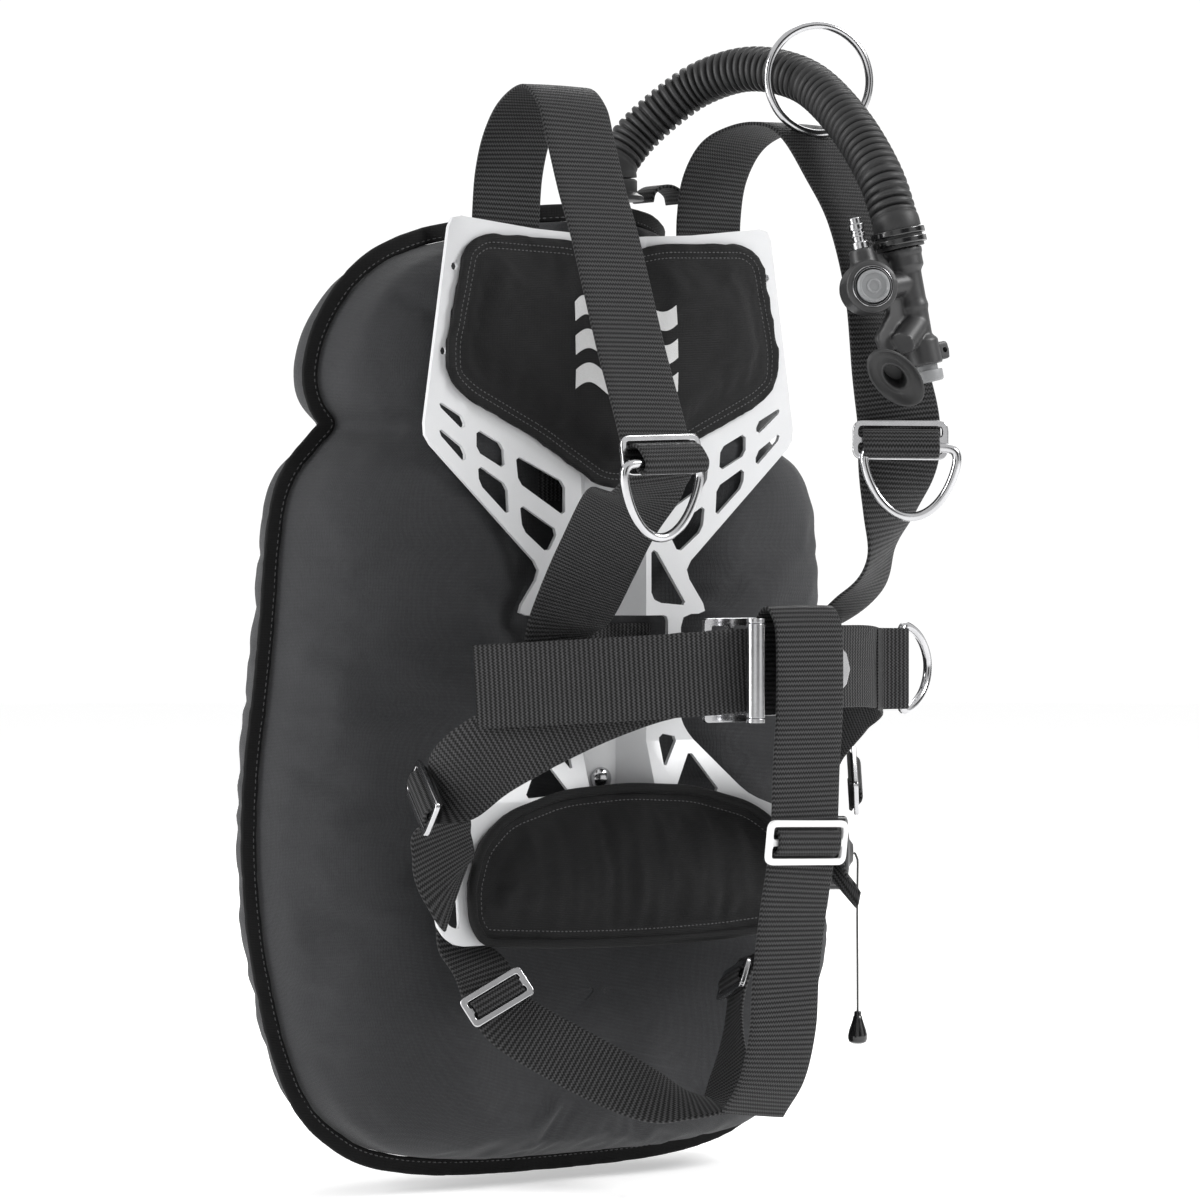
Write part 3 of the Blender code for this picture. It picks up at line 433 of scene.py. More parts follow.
class Nodes:
    """Short calls that add nodes to a tree."""

    def __init__(self, tree):
        self.tree = tree

    def add(self, kind, inputs, output=0, **settings):
        made = self.tree.nodes.new("ShaderNode" + kind)
        for key, value in settings.items():
            setattr(made, key, value)
        for key, value in inputs.items():
            if isinstance(value, bpy.types.NodeSocket):
                self.tree.links.new(value, made.inputs[key])
            else:
                made.inputs[key].default_value = value
        return made.outputs[output]

    def math(self, operation, a, b=0.0):
        return self.add("Math", {0: a, 1: b}, operation=operation)

    def position(self, kind="Object"):
        return self.add("TexCoord", {}, kind)

    def axis(self, vector, name):
        return self.add("SeparateXYZ", {0: vector}, name)

    def wave(self, value, period):
        """0..1 wave of a coordinate with the given period."""
        sine = self.math("SINE", self.math("MULTIPLY", value, 2 * math.pi / period))
        return self.math("ADD", self.math("MULTIPLY", sine, 0.5), 0.5)

    def grain(self, vector, scale, detail=3.0, rough=0.6):
        return self.add("TexNoise", {"Vector": vector, "Scale": scale, "Detail": detail,
                                     "Roughness": rough})

    def mix(self, factor, low, high):
        """Blend of two colours."""
        made = self.tree.nodes.new("ShaderNodeMix")
        made.data_type = "RGBA"
        self.tree.links.new(factor, made.inputs["Factor"])
        for key, value in (("A", low), ("B", high)):
            socket = [s for s in made.inputs if s.name == key and s.type == "RGBA"][0]
            socket.default_value = (*value, 1.0)
        return [s for s in made.outputs if s.type == "RGBA"][0]

    def spread(self, value, low, high, start=0.0, end=1.0):
        """Map start..end to low..high."""
        return self.add("MapRange", {"Value": value, "From Min": start, "From Max": end,
                                     "To Min": low, "To Max": high})


class Shader(Nodes):
    """A Principled material and its sockets."""

    def __init__(self, name, base, roughness, metallic=0.0, **sockets):
        self.material = bpy.data.materials.new(name)
        self.material.use_nodes = True
        super().__init__(self.material.node_tree)
        self.out = self.tree.nodes["Principled BSDF"]
        self.out.inputs["Base Color"].default_value = (*base, 1.0)
        self.out.inputs["Roughness"].default_value = roughness
        self.out.inputs["Metallic"].default_value = metallic
        self.material.diffuse_color = (*base, 1.0)
        for socket, value in sockets.items():
            self.out.inputs[socket.replace("_", " ")].default_value = value

    def colour(self, socket):
        self.tree.links.new(socket, self.out.inputs["Base Color"])

    def rough(self, socket):
        self.tree.links.new(socket, self.out.inputs["Roughness"])

    def bump(self, height, distance, strength=1.0):
        made = self.add("Bump", {"Height": height, "Distance": distance * MM, "Strength": strength})
        self.tree.links.new(made, self.out.inputs["Normal"])


def webbing_material(name, dark, light):
    """Ribbed nylon webbing: scalloped ribs across the strap, fine yarns along it, with painted shade that
    darkens the colour in the grooves between the ribs.
    """
    s = Shader(name, light, 0.62, Sheen_Weight=0.04, Sheen_Roughness=0.4, Specular_IOR_Level=0.22)
    made = s.tree.nodes.new("ShaderNodeUVMap")
    made.uv_map = "weave"
    across = s.axis(made.outputs[0], "X")
    along = s.axis(made.outputs[0], "Y")
    yarn = s.math("SINE", s.math("MULTIPLY", across, 2 * math.pi / YARN_PITCH))
    phase = s.math("ADD", s.math("MULTIPLY", along, 2 * math.pi / RIB_PITCH), s.math("MULTIPLY", yarn, 0.9))
    rib = s.math("ADD", s.math("MULTIPLY", s.math("SINE", phase), 0.5), 0.5)
    rib = s.math("POWER", rib, 1.4)
    worn = s.grain(s.position(), 90.0, 4.0)
    fine = s.grain(s.position(), 1500.0, 2.0)
    height = s.math("ADD", rib, s.math("MULTIPLY", fine, 0.35))
    # Painted shade: the rib wave darkens the colour almost to black in the grooves between ribs; the fine
    # and worn grains add random tone on top.
    shade = s.math("MULTIPLY", s.math("MULTIPLY", rib, s.spread(fine, 0.45, 1.25)),
                   s.spread(worn, 0.65, 1.2))
    s.colour(s.mix(shade, dark, light))
    s.rough(s.spread(worn, 0.5, 0.75))
    s.bump(height, 0.55, 0.9)
    return s.material


def nylon_material(name, dark, light, weave=0.85, sheen=0.5):
    """Woven nylon cloth: a fine plain weave with uneven yarns and soft cloudy wear."""
    s = Shader(name, light, 0.7, Sheen_Weight=sheen, Sheen_Roughness=0.45, Specular_IOR_Level=0.2)
    place = s.position()
    warp, weft, depth = (s.wave(s.axis(place, name), weave * MM) for name in "XZY")
    threads = s.math("MAXIMUM", s.math("MULTIPLY", warp, weft), s.math("MULTIPLY", depth, weft))
    fine = s.grain(place, 1300.0, 3.0, 0.7)
    cloudy = s.grain(place, 14.0, 5.0, 0.6)
    mottle = s.grain(place, 240.0, 3.0, 0.7)
    height = s.math("ADD", threads, s.math("MULTIPLY", fine, 0.9))
    tone = s.math("ADD", s.math("MULTIPLY", fine, 0.5), s.math("MULTIPLY", mottle, 0.3))
    tone = s.math("ADD", tone, s.math("MULTIPLY", threads, 0.25))
    tone = s.math("MULTIPLY", tone, s.spread(cloudy, 0.75, 1.2))
    s.colour(s.mix(tone, dark, light))
    s.rough(s.spread(mottle, 0.6, 0.82))
    s.bump(height, 0.22, 0.8)
    return s.material


def steel_material():
    """Polished stainless steel with faint drawn scratches and handling marks."""
    s = Shader("polished_stainless", (0.5, 0.5, 0.51), 0.16, 1.0)
    place = s.position()
    stretched = s.add("Mapping", {"Vector": place, "Scale": (900.0, 900.0, 120.0)})
    scratch = s.grain(stretched, 1.0, 3.0, 0.6)
    smear = s.grain(place, 60.0, 3.0)
    s.colour(s.mix(smear, (0.4, 0.4, 0.41), (0.6, 0.6, 0.61)))
    wear = s.math("ADD", s.math("MULTIPLY", scratch, 0.3), s.math("MULTIPLY", smear, 0.7))
    s.rough(s.spread(wear, 0.1, 0.2))
    return s.material


def plate_material():
    """Bead-blasted and clear-coated light metal: bright, satin, with a faint grain."""
    s = Shader("plate_satin", (0.8, 0.81, 0.82), 0.36, 0.12, Coat_Weight=0.25, Coat_Roughness=0.3)
    place = s.position()
    fine = s.grain(place, 1800.0, 3.0, 0.7)
    cloudy = s.grain(place, 22.0, 4.0)
    s.colour(s.mix(s.math("ADD", s.math("MULTIPLY", fine, 0.4), s.math("MULTIPLY", cloudy, 0.6)),
                   (0.6, 0.605, 0.62), (0.78, 0.785, 0.79)))
    s.rough(s.spread(fine, 0.3, 0.46))
    s.bump(fine, 0.05, 0.35)
    return s.material


def moulded_material(name, base, light, roughness, texture=0.06, coat=0.0):
    """Moulded plastic or rubber with a fine spark-eroded texture and worn, paler high spots."""
    s = Shader(name, base, roughness, Specular_IOR_Level=0.45, Coat_Weight=coat, Coat_Roughness=0.2)
    place = s.position()
    fine = s.grain(place, 1600.0, 2.0, 0.6)
    cloudy = s.grain(place, 45.0, 4.0)
    edge = s.tree.nodes.new("ShaderNodeNewGeometry").outputs["Pointiness"]
    worn = s.add("MapRange", {"Value": edge, "From Min": 0.5, "From Max": 0.62})
    tone = s.math("ADD", s.math("MULTIPLY", cloudy, 0.55), s.math("MULTIPLY", worn, 0.6))
    tone = s.math("MULTIPLY", tone, s.spread(fine, 0.7, 1.2))
    s.colour(s.mix(tone, base, light))
    s.rough(s.spread(fine, roughness - 0.08, roughness + 0.12))
    s.bump(fine, texture, 0.6)
    return s.material


def thread_material(name, base):
    """Twisted sewing thread or cord."""
    s = Shader(name, base, 0.6, Sheen_Weight=0.3)
    place = s.position()
    twist = s.wave(s.math("ADD", s.axis(place, "Z"), s.axis(place, "X")), 0.9 * MM)
    fine = s.grain(place, 1500.0, 2.0)
    low = tuple(0.45 * c for c in base)
    s.colour(s.mix(s.math("MULTIPLY", twist, s.spread(fine, 0.7, 1.2)), low, base))
    s.bump(twist, 0.12, 0.8)
    return s.material


RIB_PITCH = 2.9
YARN_PITCH = 1.9

# The near-black dark colour of the webbing is the painted shade in its rib grooves.
WEBBING = webbing_material("webbing_weave", (0.001, 0.001, 0.0011), (0.062, 0.062, 0.064))
WING_CLOTH = nylon_material("wing_nylon_cloth", (0.003, 0.0031, 0.0034), (0.06, 0.061, 0.065), 0.85, 0.1)
PAD_CLOTH = nylon_material("pad_twill", (0.0012, 0.0012, 0.0013), (0.0165, 0.0165, 0.0172), 1.1, 0.03)
TAPE = nylon_material("binding_tape", (0.0012, 0.0012, 0.0013), (0.013, 0.013, 0.0135), 1.0, 0.03)
STEEL = steel_material()
PLATE = plate_material()
RUBBER = moulded_material("hose_rubber", (0.006, 0.006, 0.0063), (0.035, 0.035, 0.036), 0.5, 0.05)
PLASTIC = moulded_material("black_moulding", (0.01, 0.01, 0.0103), (0.07, 0.07, 0.072), 0.4, 0.07)
GLOSSY = moulded_material("glossy_band", (0.002, 0.002, 0.0022), (0.012, 0.012, 0.013), 0.14, 0.01, 0.6)
GREY = moulded_material("grey_button", (0.14, 0.143, 0.147), (0.32, 0.325, 0.33), 0.45, 0.05)
WHITE = moulded_material("white_coated", (0.68, 0.68, 0.68), (0.86, 0.86, 0.86), 0.34, 0.02, 0.3)
MARK = thread_material("white_print", (0.82, 0.82, 0.82))
GREY_THREAD = thread_material("grey_thread", (0.09, 0.09, 0.093))
CORD = thread_material("dump_line", (0.08, 0.08, 0.08))


# ---------------------------------------------------------------- camera, light and floor

SKY_SEEN = 1.05
SKY_TOWARDS = (0.45, -0.35, 0.8)
SKY_DIM = 0.12
SKY_BRIGHT = 0.95
PANEL_DARK = 0.06
PANEL_BRIGHT = 1.15
PANELS = 5.0
FLOOR_GLOW = 0.42
FLOOR_RADIUS = 9000.0
FLOOR_GAP = 3.0
KEY_LIGHT = 92.0
FILL_LIGHT = 62.0
RIM_LIGHT = 28.0


def aim(obj, target):
    obj.rotation_euler = (Vector(target) - obj.location).to_track_quat("-Z", "Y").to_euler()


def camera():
    data = bpy.data.cameras.new("camera")
    data.lens = 144.0
    data.sensor_width = 36.0
    data.clip_end = 30.0
    obj = bpy.data.objects.new("camera", data)
    obj.location = (-1.73109, -2.48326, 0.01070)
    aim(obj, (-0.0105, -0.0260, -0.0270))
    bpy.context.scene.collection.objects.link(obj)
    bpy.context.scene.camera = obj


def softbox(name, location, target, width, height, power, spread=180.0):
    data = bpy.data.lights.new(name, "AREA")
    data.shape = "RECTANGLE"
    data.size, data.size_y = width, height
    data.energy = power
    data.spread = math.radians(spread)
    obj = bpy.data.objects.new(name, data)
    obj.location = location
    aim(obj, target)
    bpy.context.scene.collection.objects.link(obj)


def bands(nodes, direction):
    """Tall bright and dark panels round the studio, which give polished metal its contrast."""
    turn = nodes.math("ARCTAN2", nodes.axis(direction, "Y"), nodes.axis(direction, "X"))
    panel = nodes.math("SINE", nodes.math("ADD", nodes.math("MULTIPLY", turn, PANELS), 0.6))
    overhead = nodes.math("MULTIPLY", nodes.math("SUBTRACT", nodes.axis(direction, "Z"), 0.5), 6.0)
    level = nodes.spread(nodes.math("MAXIMUM", panel, overhead), PANEL_DARK, PANEL_BRIGHT, -0.25, 0.45)
    return nodes.add("Background", {"Strength": level})


def sky():
    """White to the camera; to the object it is bright up and to the right and dim low down on the left."""
    world = bpy.data.worlds.new("studio")
    world.use_nodes = True
    nodes = Nodes(world.node_tree)
    where = nodes.position("Generated")
    side = nodes.add("VectorMath", {0: where, 1: Vector(SKY_TOWARDS).normalized()}, "Value",
                     operation="DOT_PRODUCT")
    surface = nodes.add("Background", {"Strength": nodes.spread(side, SKY_DIM, SKY_BRIGHT, -0.6, 0.9)})
    seen = nodes.add("Background", {"Color": (1.0, 1.0, 1.0, 1.0), "Strength": SKY_SEEN})
    for ray, shade in (("Is Glossy Ray", bands(nodes, where)), ("Is Camera Ray", seen)):
        surface = nodes.add("MixShader", {0: nodes.add("LightPath", {}, ray), 1: surface, 2: shade})
    nodes.tree.links.new(surface, nodes.tree.nodes["World Output"].inputs["Surface"])
    bpy.context.scene.world = world
    bpy.context.scene.view_settings.view_transform = "Standard"


def studio():
    """White floor under a white sky: a key on the right, a fill behind the left side and a rim light."""
    sky()
    s = Shader("floor_white", (0.93, 0.93, 0.93), 0.9, Specular_IOR_Level=0.1, Emission_Strength=FLOOR_GLOW)
    s.out.inputs["Emission Color"].default_value = (1.0, 1.0, 1.0, 1.0)
    mottle = s.grain(s.position(), 6.0)
    s.colour(s.mix(mottle, (0.92, 0.92, 0.92), (0.94, 0.94, 0.94)))
    bm = bmesh.new()
    bmesh.ops.create_circle(bm, cap_ends=True, segments=96, radius=FLOOR_RADIUS)
    bmesh.ops.translate(bm, vec=(0, 0, cad_box[0][2] / MM - FLOOR_GAP), verts=bm.verts)
    from_bmesh("floor", bm, s.material)
    softbox("key", (2.0, -2.1, 2.1), (0, 0, 0), 1.3, 1.3, KEY_LIGHT)
    softbox("fill", (-2.6, 0.7, 0.7), (0, 0, 0), 0.9, 2.2, FILL_LIGHT)
    softbox("rim", (1.8, 1.9, 1.6), (0, 0, 0), 1.4, 1.4, RIM_LIGHT)


camera()
studio()


# ---------------------------------------------------------------- dump cord and toggle

CORD_DROP = 104.0
CORD_DIAMETER = 1.5
CORD_EXIT = VALVE_SEAT + VALVE_AXIS * 23.2
CORD_END = CORD_EXIT + Vector((2.2, -1.6, -CORD_DROP))


def dump_line():
    """Free pull cord: out of the cap's centre, over its rim and straight down to the toggle."""
    route = [CORD_EXIT, CORD_EXIT + VALVE_AXIS * 1.2 + Vector((0, 0, -0.8))]
    route += [CORD_EXIT + VALVE_AXIS * out + Vector((0, 0, -down))
              for out, down in ((2.6, 4.5), (2.6, 14), (2.4, 40), (2.6, 75))]
    points = spline([*route, CORD_END], 5.0)
    curve = bpy.data.curves.new("dump_line", "CURVE")
    curve.dimensions = "3D"
    curve.bevel_depth = CORD_DIAMETER / 2 * MM
    curve.bevel_resolution = 4
    curve.use_fill_caps = True
    line = curve.splines.new("POLY")
    line.points.add(len(points) - 1)
    for point, p in zip(line.points, points):
        point.co = (*(p * MM), 1.0)
    curve.materials.append(CORD)
    cord = bpy.data.objects.new("dump_line", curve)
    bpy.context.scene.collection.objects.link(cord)
    settle(cord, "hose_rubber", "dump_cord", body="dump_line")
    place = place_on(CORD_END, UP, X_AXIS)
    shape = [(0, 0.9), (1.9, 0.9), (2.3, 0.2), (2.4, -2.2), (2.9, -2.8), (3.3, -4.6), (4.4, -8.0),
             (5.6, -11.5), (6.3, -14.5), (6.4, -17.0), (5.7, -19.2), (3.6, -20.4), (0, -20.5)]
    toggle = turned("toggle_drop", shape, place, GLOSSY, edge=0.5)
    settle(toggle, "black_plastic", "dump_toggle", body="dump_line")


dump_line()


# ---------------------------------------------------------------- wing

WING_HALF = [(0, 211), (41, 209), (71, 202), (110, 190), (133, 178), (151, 161), (166, 137), (172, 113),
             (168, 96), (159, 82), (171, 68), (185, 53), (194, 35), (199, 6), (203, -41), (208, -85),
             (214, -130), (216, -180), (212, -230), (205, -266), (196, -300), (180, -337), (158, -358),
             (131, -371), (81, -379), (0, -381)]
PANEL_TOP, PANEL_BOTTOM = 120.0, -270.0
PANEL_FRONT = -5.2
PANEL_SHARE = 0.22
WALL_RADIUS = 99.0
BINDING = 11.0
SEAM_DEPTH = 49.0
LOBE_POWER = 2.5
LOBE_FRONT = -18.0
NOTCH_HEIGHT = 82.0
GATHER = 2.6


def tank_wall(x, z, clearance):
    """Furthest back the wing may reach, so that the cylinder fits between the lobes."""
    radius = TANK_RADIUS + clearance * smoothstep(20, 50, np.abs(x))
    inside = np.sqrt(np.maximum(0.0, radius ** 2 - np.asarray(x) ** 2))
    wall = np.where(np.abs(x) < radius, TANK_RADIUS - inside, 400.0)
    return wall + (1 - smoothstep(-375, -315, z)) * 130.0


def seam_y(x, z):
    """Depth of the edge seam."""
    near = np.minimum(WALL_RADIUS, np.abs(x))
    wall = TANK_RADIUS - np.sqrt(np.maximum(0.0, WALL_RADIUS ** 2 - near ** 2)) + 1.0
    behind_tank = np.minimum(SEAM_DEPTH, wall)
    return behind_tank + (45.0 - behind_tank) * (1 - smoothstep(-375, -300, z))


def wing_outline(step=6.0):
    half = [(x, 0, z) for x, z in WING_HALF]
    other = [(-x, 0, z) for x, _, z in reversed(half) if x > 0]
    return spline(half + other, step, closed=True)


def fullness(t):
    return np.maximum(0.0, 1 - np.clip(t, 0, 1) ** LOBE_POWER) ** (1 / LOBE_POWER)


def valve_dent(points):
    offset = points - np.array(VALVE_SEAT)
    height = offset @ np.array(VALVE_AXIS)
    reach = np.linalg.norm(offset - height[..., None] * np.array(VALVE_AXIS), axis=-1)
    limit = -1.2 + 40.0 * smoothstep(46, 90, reach)
    return points - np.array(VALVE_AXIS) * np.maximum(0.0, height - limit)[..., None]


def wing_row(outline, inner, level, front):
    """One row of the skin: inner is the share from the spine where level 0 starts."""
    x1, z1 = outline[:, 0], outline[:, 2]
    spine_z = np.clip(z1, PANEL_BOTTOM, PANEL_TOP)
    start_x, start_z = x1 * inner, spine_z + (z1 - spine_z) * inner
    x = start_x + (x1 - start_x) * level
    z = start_z + (z1 - start_z) * level
    seam = seam_y(x1, z1)
    if front:
        swell = seam + (LOBE_FRONT - seam) * fullness((level - 0.25) / 0.75)
        panel = PANEL_FRONT + (LOBE_FRONT - PANEL_FRONT) * smoothstep(0, 0.25, level)
        y = swell if level > 0.25 else np.full_like(x, float(panel))
        room = PANEL_FRONT - 25.0 * smoothstep(26, 46, np.abs(x)) - 15.0 * smoothstep(150, 190, -z)
        return valve_dent(np.stack([x, np.maximum(y, room), z], axis=1))
    back = np.minimum(116.0, seam + 66.0)
    swell = seam + (back - seam) * fullness((level - 0.45) / 0.55)
    y = swell if level > 0.45 else back * float(smoothstep(0, 0.45, level))
    return np.stack([x, np.minimum(y, tank_wall(x, z, 7.0)), z], axis=1)


def outward(outline):
    """Directions that point out of the wing in its own plane."""
    along = tangents(outline, True)
    out = np.stack([along[:, 2], np.zeros(len(along)), -along[:, 0]], axis=1)
    centre = np.stack([np.zeros(len(outline)), np.zeros(len(outline)), outline[:, 2] * 0.5], axis=1)
    return out * np.sign(np.sum(out * (outline - centre), axis=1, keepdims=True))


def pucker(distance, seed):
    """Uneven gathers along a seam."""
    return np.array([noise.noise(Vector((d / 9.0, seed, 0.0)))
                     + 0.5 * noise.noise(Vector((d / 4.5, seed, 7.0))) for d in distance])


def wing():
    """Both skins as one blown-up cell, held along its edge seam and its centre panel."""
    outline = wing_outline()
    distance = lengths_along(outline)
    inner_steps = (0.03, 0.09, 0.15)
    levels = 1 - (1 - np.linspace(0.0, 1.0, 30)) ** 1.25
    rows, weights = [], []
    for share in inner_steps:
        rows.append(wing_row(outline, share, 0.0, True))
        weights.append(1.0)
    for level in levels:
        rows.append(wing_row(outline, PANEL_SHARE, level, True))
        weights.append(1.0 if level < 0.1 or level > 0.985 else 0.0)
    for level in levels[::-1][1:]:
        rows.append(wing_row(outline, PANEL_SHARE, level, False))
        weights.append(1.0 if level < 0.2 or level > 0.97 else 0.0)
    for share in reversed(inner_steps):
        rows.append(wing_row(outline, share, 0.0, False))
        weights.append(1.0)
    rings = np.array(rows)
    gather = pucker(distance, 3.0)
    for i, level in enumerate(levels):
        near = math.exp(-((1 - level) / 0.09) ** 2) * min(1.0, (1 - level) / 0.03)
        rings[len(inner_steps) + i, :, 1] -= GATHER * gather * near
        behind = len(inner_steps) + 2 * len(levels) - 2 - i
        rings[behind, :, 1] += GATHER * gather * near
    piece = skin("wing_cell", rings, WING_CLOTH, sharp=80.0)
    split_caps(piece)
    held = np.repeat(weights, len(outline))
    near_valve = np.linalg.norm(rings.reshape(-1, 3) - np.array(VALVE_SEAT), axis=1) < 40
    held = np.maximum(held, near_valve)
    inflate(piece, held, pressure=3.0, cap=8.0, slack=0.035, bending=0.4)
    crease(piece)
    finer(piece)
    settle(piece, "wing_nylon", "wing_front_shell", "wing_back_shell", "wing_bladder")
    return piece


def split_caps(piece):
    """Cut the two long faces along the spine into triangles, so that they stay flat when made finer."""
    bm = bmesh.new()
    bm.from_mesh(piece.data)
    bmesh.ops.triangulate(bm, faces=[f for f in bm.faces if len(f.verts) > 4])
    bm.to_mesh(piece.data)
    bm.free()


def crease(piece):
    """Keep the cell off the plate and the cylinder, and press the waist crease in at each notch."""
    x, y, z = corners_of(piece.data).T
    front = y < seam_y(x, z)
    side = smoothstep(95, 170, np.abs(x))
    fold = 9.0 * np.exp(-((z - NOTCH_HEIGHT + 0.22 * (172 - np.abs(x))) / 9.0) ** 2) * side
    y = np.where(front, y + fold * (1 - smoothstep(30, 49, y)), y - fold * smoothstep(49, 70, y))
    low = smoothstep(150, 190, -z)
    behind_plate = (np.abs(x) < 152) & (z < 214)
    y = np.where(front & behind_plate, np.maximum(y, PLATE_FRONT + 3.6 - 16.0 * low), y)
    y = np.where(front, np.maximum(y, -6.0 - 25.0 * smoothstep(26, 46, np.abs(x)) - 15.0 * low), y)
    y = np.where(front, y, np.minimum(y, tank_wall(x, z, 2.0)))
    y = settled(piece, y, (y < -3.0) * (1 - smoothstep(60, 100, np.abs(x))) * smoothstep(205, 235, -z)
                * (1 - smoothstep(310, 345, -z)))
    move_corners(piece.data, x, y, z)


def settled(piece, y, share, rounds=120):
    """Even out the depth where the centre channel runs into the lower lobe."""
    edges = np.array([e.vertices[:] for e in piece.data.edges])
    a, b = edges.T
    count = np.bincount(edges.ravel(), minlength=len(y))
    for _ in range(rounds):
        total = np.bincount(a, y[b], len(y)) + np.bincount(b, y[a], len(y))
        y = y + share * (total / count - y)
    return y


def binding():
    """Folded tape over the edge seam, gathered a little, with its line of stitching."""
    outline = wing_outline(4.0)
    out = outward(outline)
    distance = lengths_along(outline)
    depth = seam_y(outline[:, 0], outline[:, 2])
    gather = pucker(distance, 3.0)
    flutter = pucker(distance * 0.6, 11.0)
    half = BINDING / 2
    section = ribbon_section(BINDING, 2.8)
    rings = []
    for p, o, y, g, f in zip(outline, out, depth, gather, flutter):
        centre = np.array([p[0], y, p[2]]) + o * (half - 0.4)
        lean = units(np.array(o) + np.array([0.0, 0.22 * g, 0.0]))
        through = np.array([0.0, 1.0, 0.0])
        rings.append([centre + lean * (a * (1 + 0.05 * f)) + through * (t * (1 + 0.25 * f * (a / half)))
                      for a, t in section])
    rings = np.array(rings)
    tape = skin("edge_binding", rings, TAPE, loop=True)
    settle(tape, "webbing", "wing_edge_binding")
    for side, name in ((-1, "front"), (1, "back")):
        line = np.stack([outline[:, 0], depth + side * 1.45, outline[:, 2]], axis=1) + out * 2.2
        normals = np.tile((0.0, float(side), 0.0), (len(line), 1))
        thread = stitches("binding_stitch_" + name, line, normals, GREY_THREAD, pitch=4.0, length=2.6)
        settle(thread, "webbing")


# ---------------------------------------------------------------- plate and pads

def hip_forward(z):
    ramp = np.clip((-116 - np.asarray(z, float)) / 35, 0, 1) * 12
    return ramp + 14.0 * np.clip((-151 - z) / 59, 0, 1) + 0.1 * np.maximum(0.0, -210 - z)


def plate():
    piece = refined("backplate", PLATE, 0.75, 3)
    settle(piece, "plate_silver", "backplate")


def plate_bolts():
    for tag, z in (("upper", BOLT_SPACING / 2), ("lower", -BOLT_SPACING / 2)):
        floor = PLATE_FRONT + CHANNEL_DEPTH - 0.3
        place = place_on((0, floor, z), (0, -1, 0), X_AXIS)
        dome = [(7.5 * math.cos(t), 0.9 + 3.7 * math.sin(t)) for t in np.linspace(0, math.pi / 2, 9)]
        shank = -(floor + 1.0)
        profile = [(0, -shank), (4, -shank), (4, 0), (7.5, 0), *dome[:-1], (0, 4.6)]
        bolt = turned("bolt_dome_" + tag, profile, place, STEEL, edge=0.2)
        settle(bolt, "stainless", "plate_bolt_" + tag)
        back = place_on((0, -0.4, z), (0, -1, 0), X_AXIS)
        eyelet = [(4.4, 0.3), (4.9, 0), (6.6, 0), (7, 0.4), (7, 3.8), (6.6, 4.2), (4.9, 4.2), (4.4, 3.9)]
        settle(turned("eyelet_" + tag, eyelet, back, STEEL), "stainless", "wing_grommet_" + tag)


PAD_BORDER = 9.0
PIPING_RADIUS = 3.0


def edge_distance(x, z, outline):
    """Distance from points to a closed outline."""
    a = np.array([(p[0], p[1]) for p in outline])
    b = np.roll(a, -1, axis=0)
    p = np.stack([x, z], axis=1)[:, None]
    ab = (b - a)[None]
    t = np.clip(np.sum((p - a[None]) * ab, axis=2) / np.sum(ab * ab, axis=2), 0, 1)
    return np.min(np.linalg.norm(p - (a[None] + ab * t[..., None]), axis=2), axis=1)


def inset(outline, amount):
    """The outline moved inwards."""
    points = np.array([(p[0], p[1]) for p in outline])
    along = tangents(points, True)
    side = np.stack([-along[:, 1], along[:, 0]], axis=1)
    area = np.sum(points[:, 0] * np.roll(points[:, 1], -1) - np.roll(points[:, 0], -1) * points[:, 1])
    return points + side * amount * np.sign(area)


def pad(name, outline, thick, back_y, lift):
    """Padded cloth panel: a slab held along its border seam and blown up as cloth."""
    bm = bmesh.new()
    verts = [bm.verts.new((p[0], 0, p[1])) for p in outline]
    bm.faces.new(verts)
    top = bmesh.ops.extrude_face_region(bm, geom=bm.faces[:])
    lifted = [g for g in top["geom"] if isinstance(g, bmesh.types.BMVert)]
    bmesh.ops.translate(bm, vec=(0, -thick, 0), verts=lifted)
    piece = from_bmesh(name, bm, PAD_CLOTH, sharp=80)
    remesh = piece.modifiers.new("remesh", "REMESH")
    remesh.mode = "VOXEL"
    remesh.voxel_size = 3.6 * MM
    mesh = bpy.data.meshes.new_from_object(evaluated(piece))
    piece.modifiers.clear()
    piece.data = mesh
    x, y, z = corners_of(mesh).T
    rim = edge_distance(x, z, outline)
    share = -y / thick
    crown = smoothstep(PAD_BORDER, PAD_BORDER + 22, rim)
    flat = 0.42 + 0.58 * crown
    groove = 1.6 * np.exp(-((rim - PAD_BORDER) / 2.0) ** 2)
    y = back_y(z) - share * (thick * flat - groove)
    move_corners(mesh, x, y, z)
    held = ((np.abs(rim - PAD_BORDER) < 2.2) | (share < 0.3)).astype(float)
    inflate(piece, held, pressure=2.5, cap=3.2, frames=14, slack=0.02, bending=0.8)
    x, y, z = corners_of(mesh).T
    share = smoothstep(0.0, thick * 0.5, back_y(z) - y)
    y = y - lift(x, z, rim) * share
    move_corners(mesh, x, y, z)
    for polygon in mesh.polygons:
        polygon.use_smooth = True
    mesh.update()
    finer(piece)
    return piece


def stitched_border(name, piece, outline, offsets):
    tree = surface_of(piece)
    for index, offset in enumerate(offsets):
        line, normals = [], []
        seam = np.column_stack([inset(outline, offset), np.zeros(len(outline))])
        for x, z in spline(seam, 2.0, True)[:, :2]:
            found = laid(tree, x, z)
            if found:
                line.append(found[0])
                normals.append(found[1])
        thread = stitches(f"{name}_{index}", line, normals, GREY_THREAD, pitch=3.0, length=2.1, radius=0.32)
        settle(thread, "pad_fabric")


def cloth_noise(x, z, size_x, size_z, seed):
    return np.array([noise.noise(Vector((a / size_x, b / size_z, seed))) for a, b in zip(x, z)])


def mirrored(half):
    return list(half) + [(-x, z) for x, z in reversed(half) if x > 0.01]


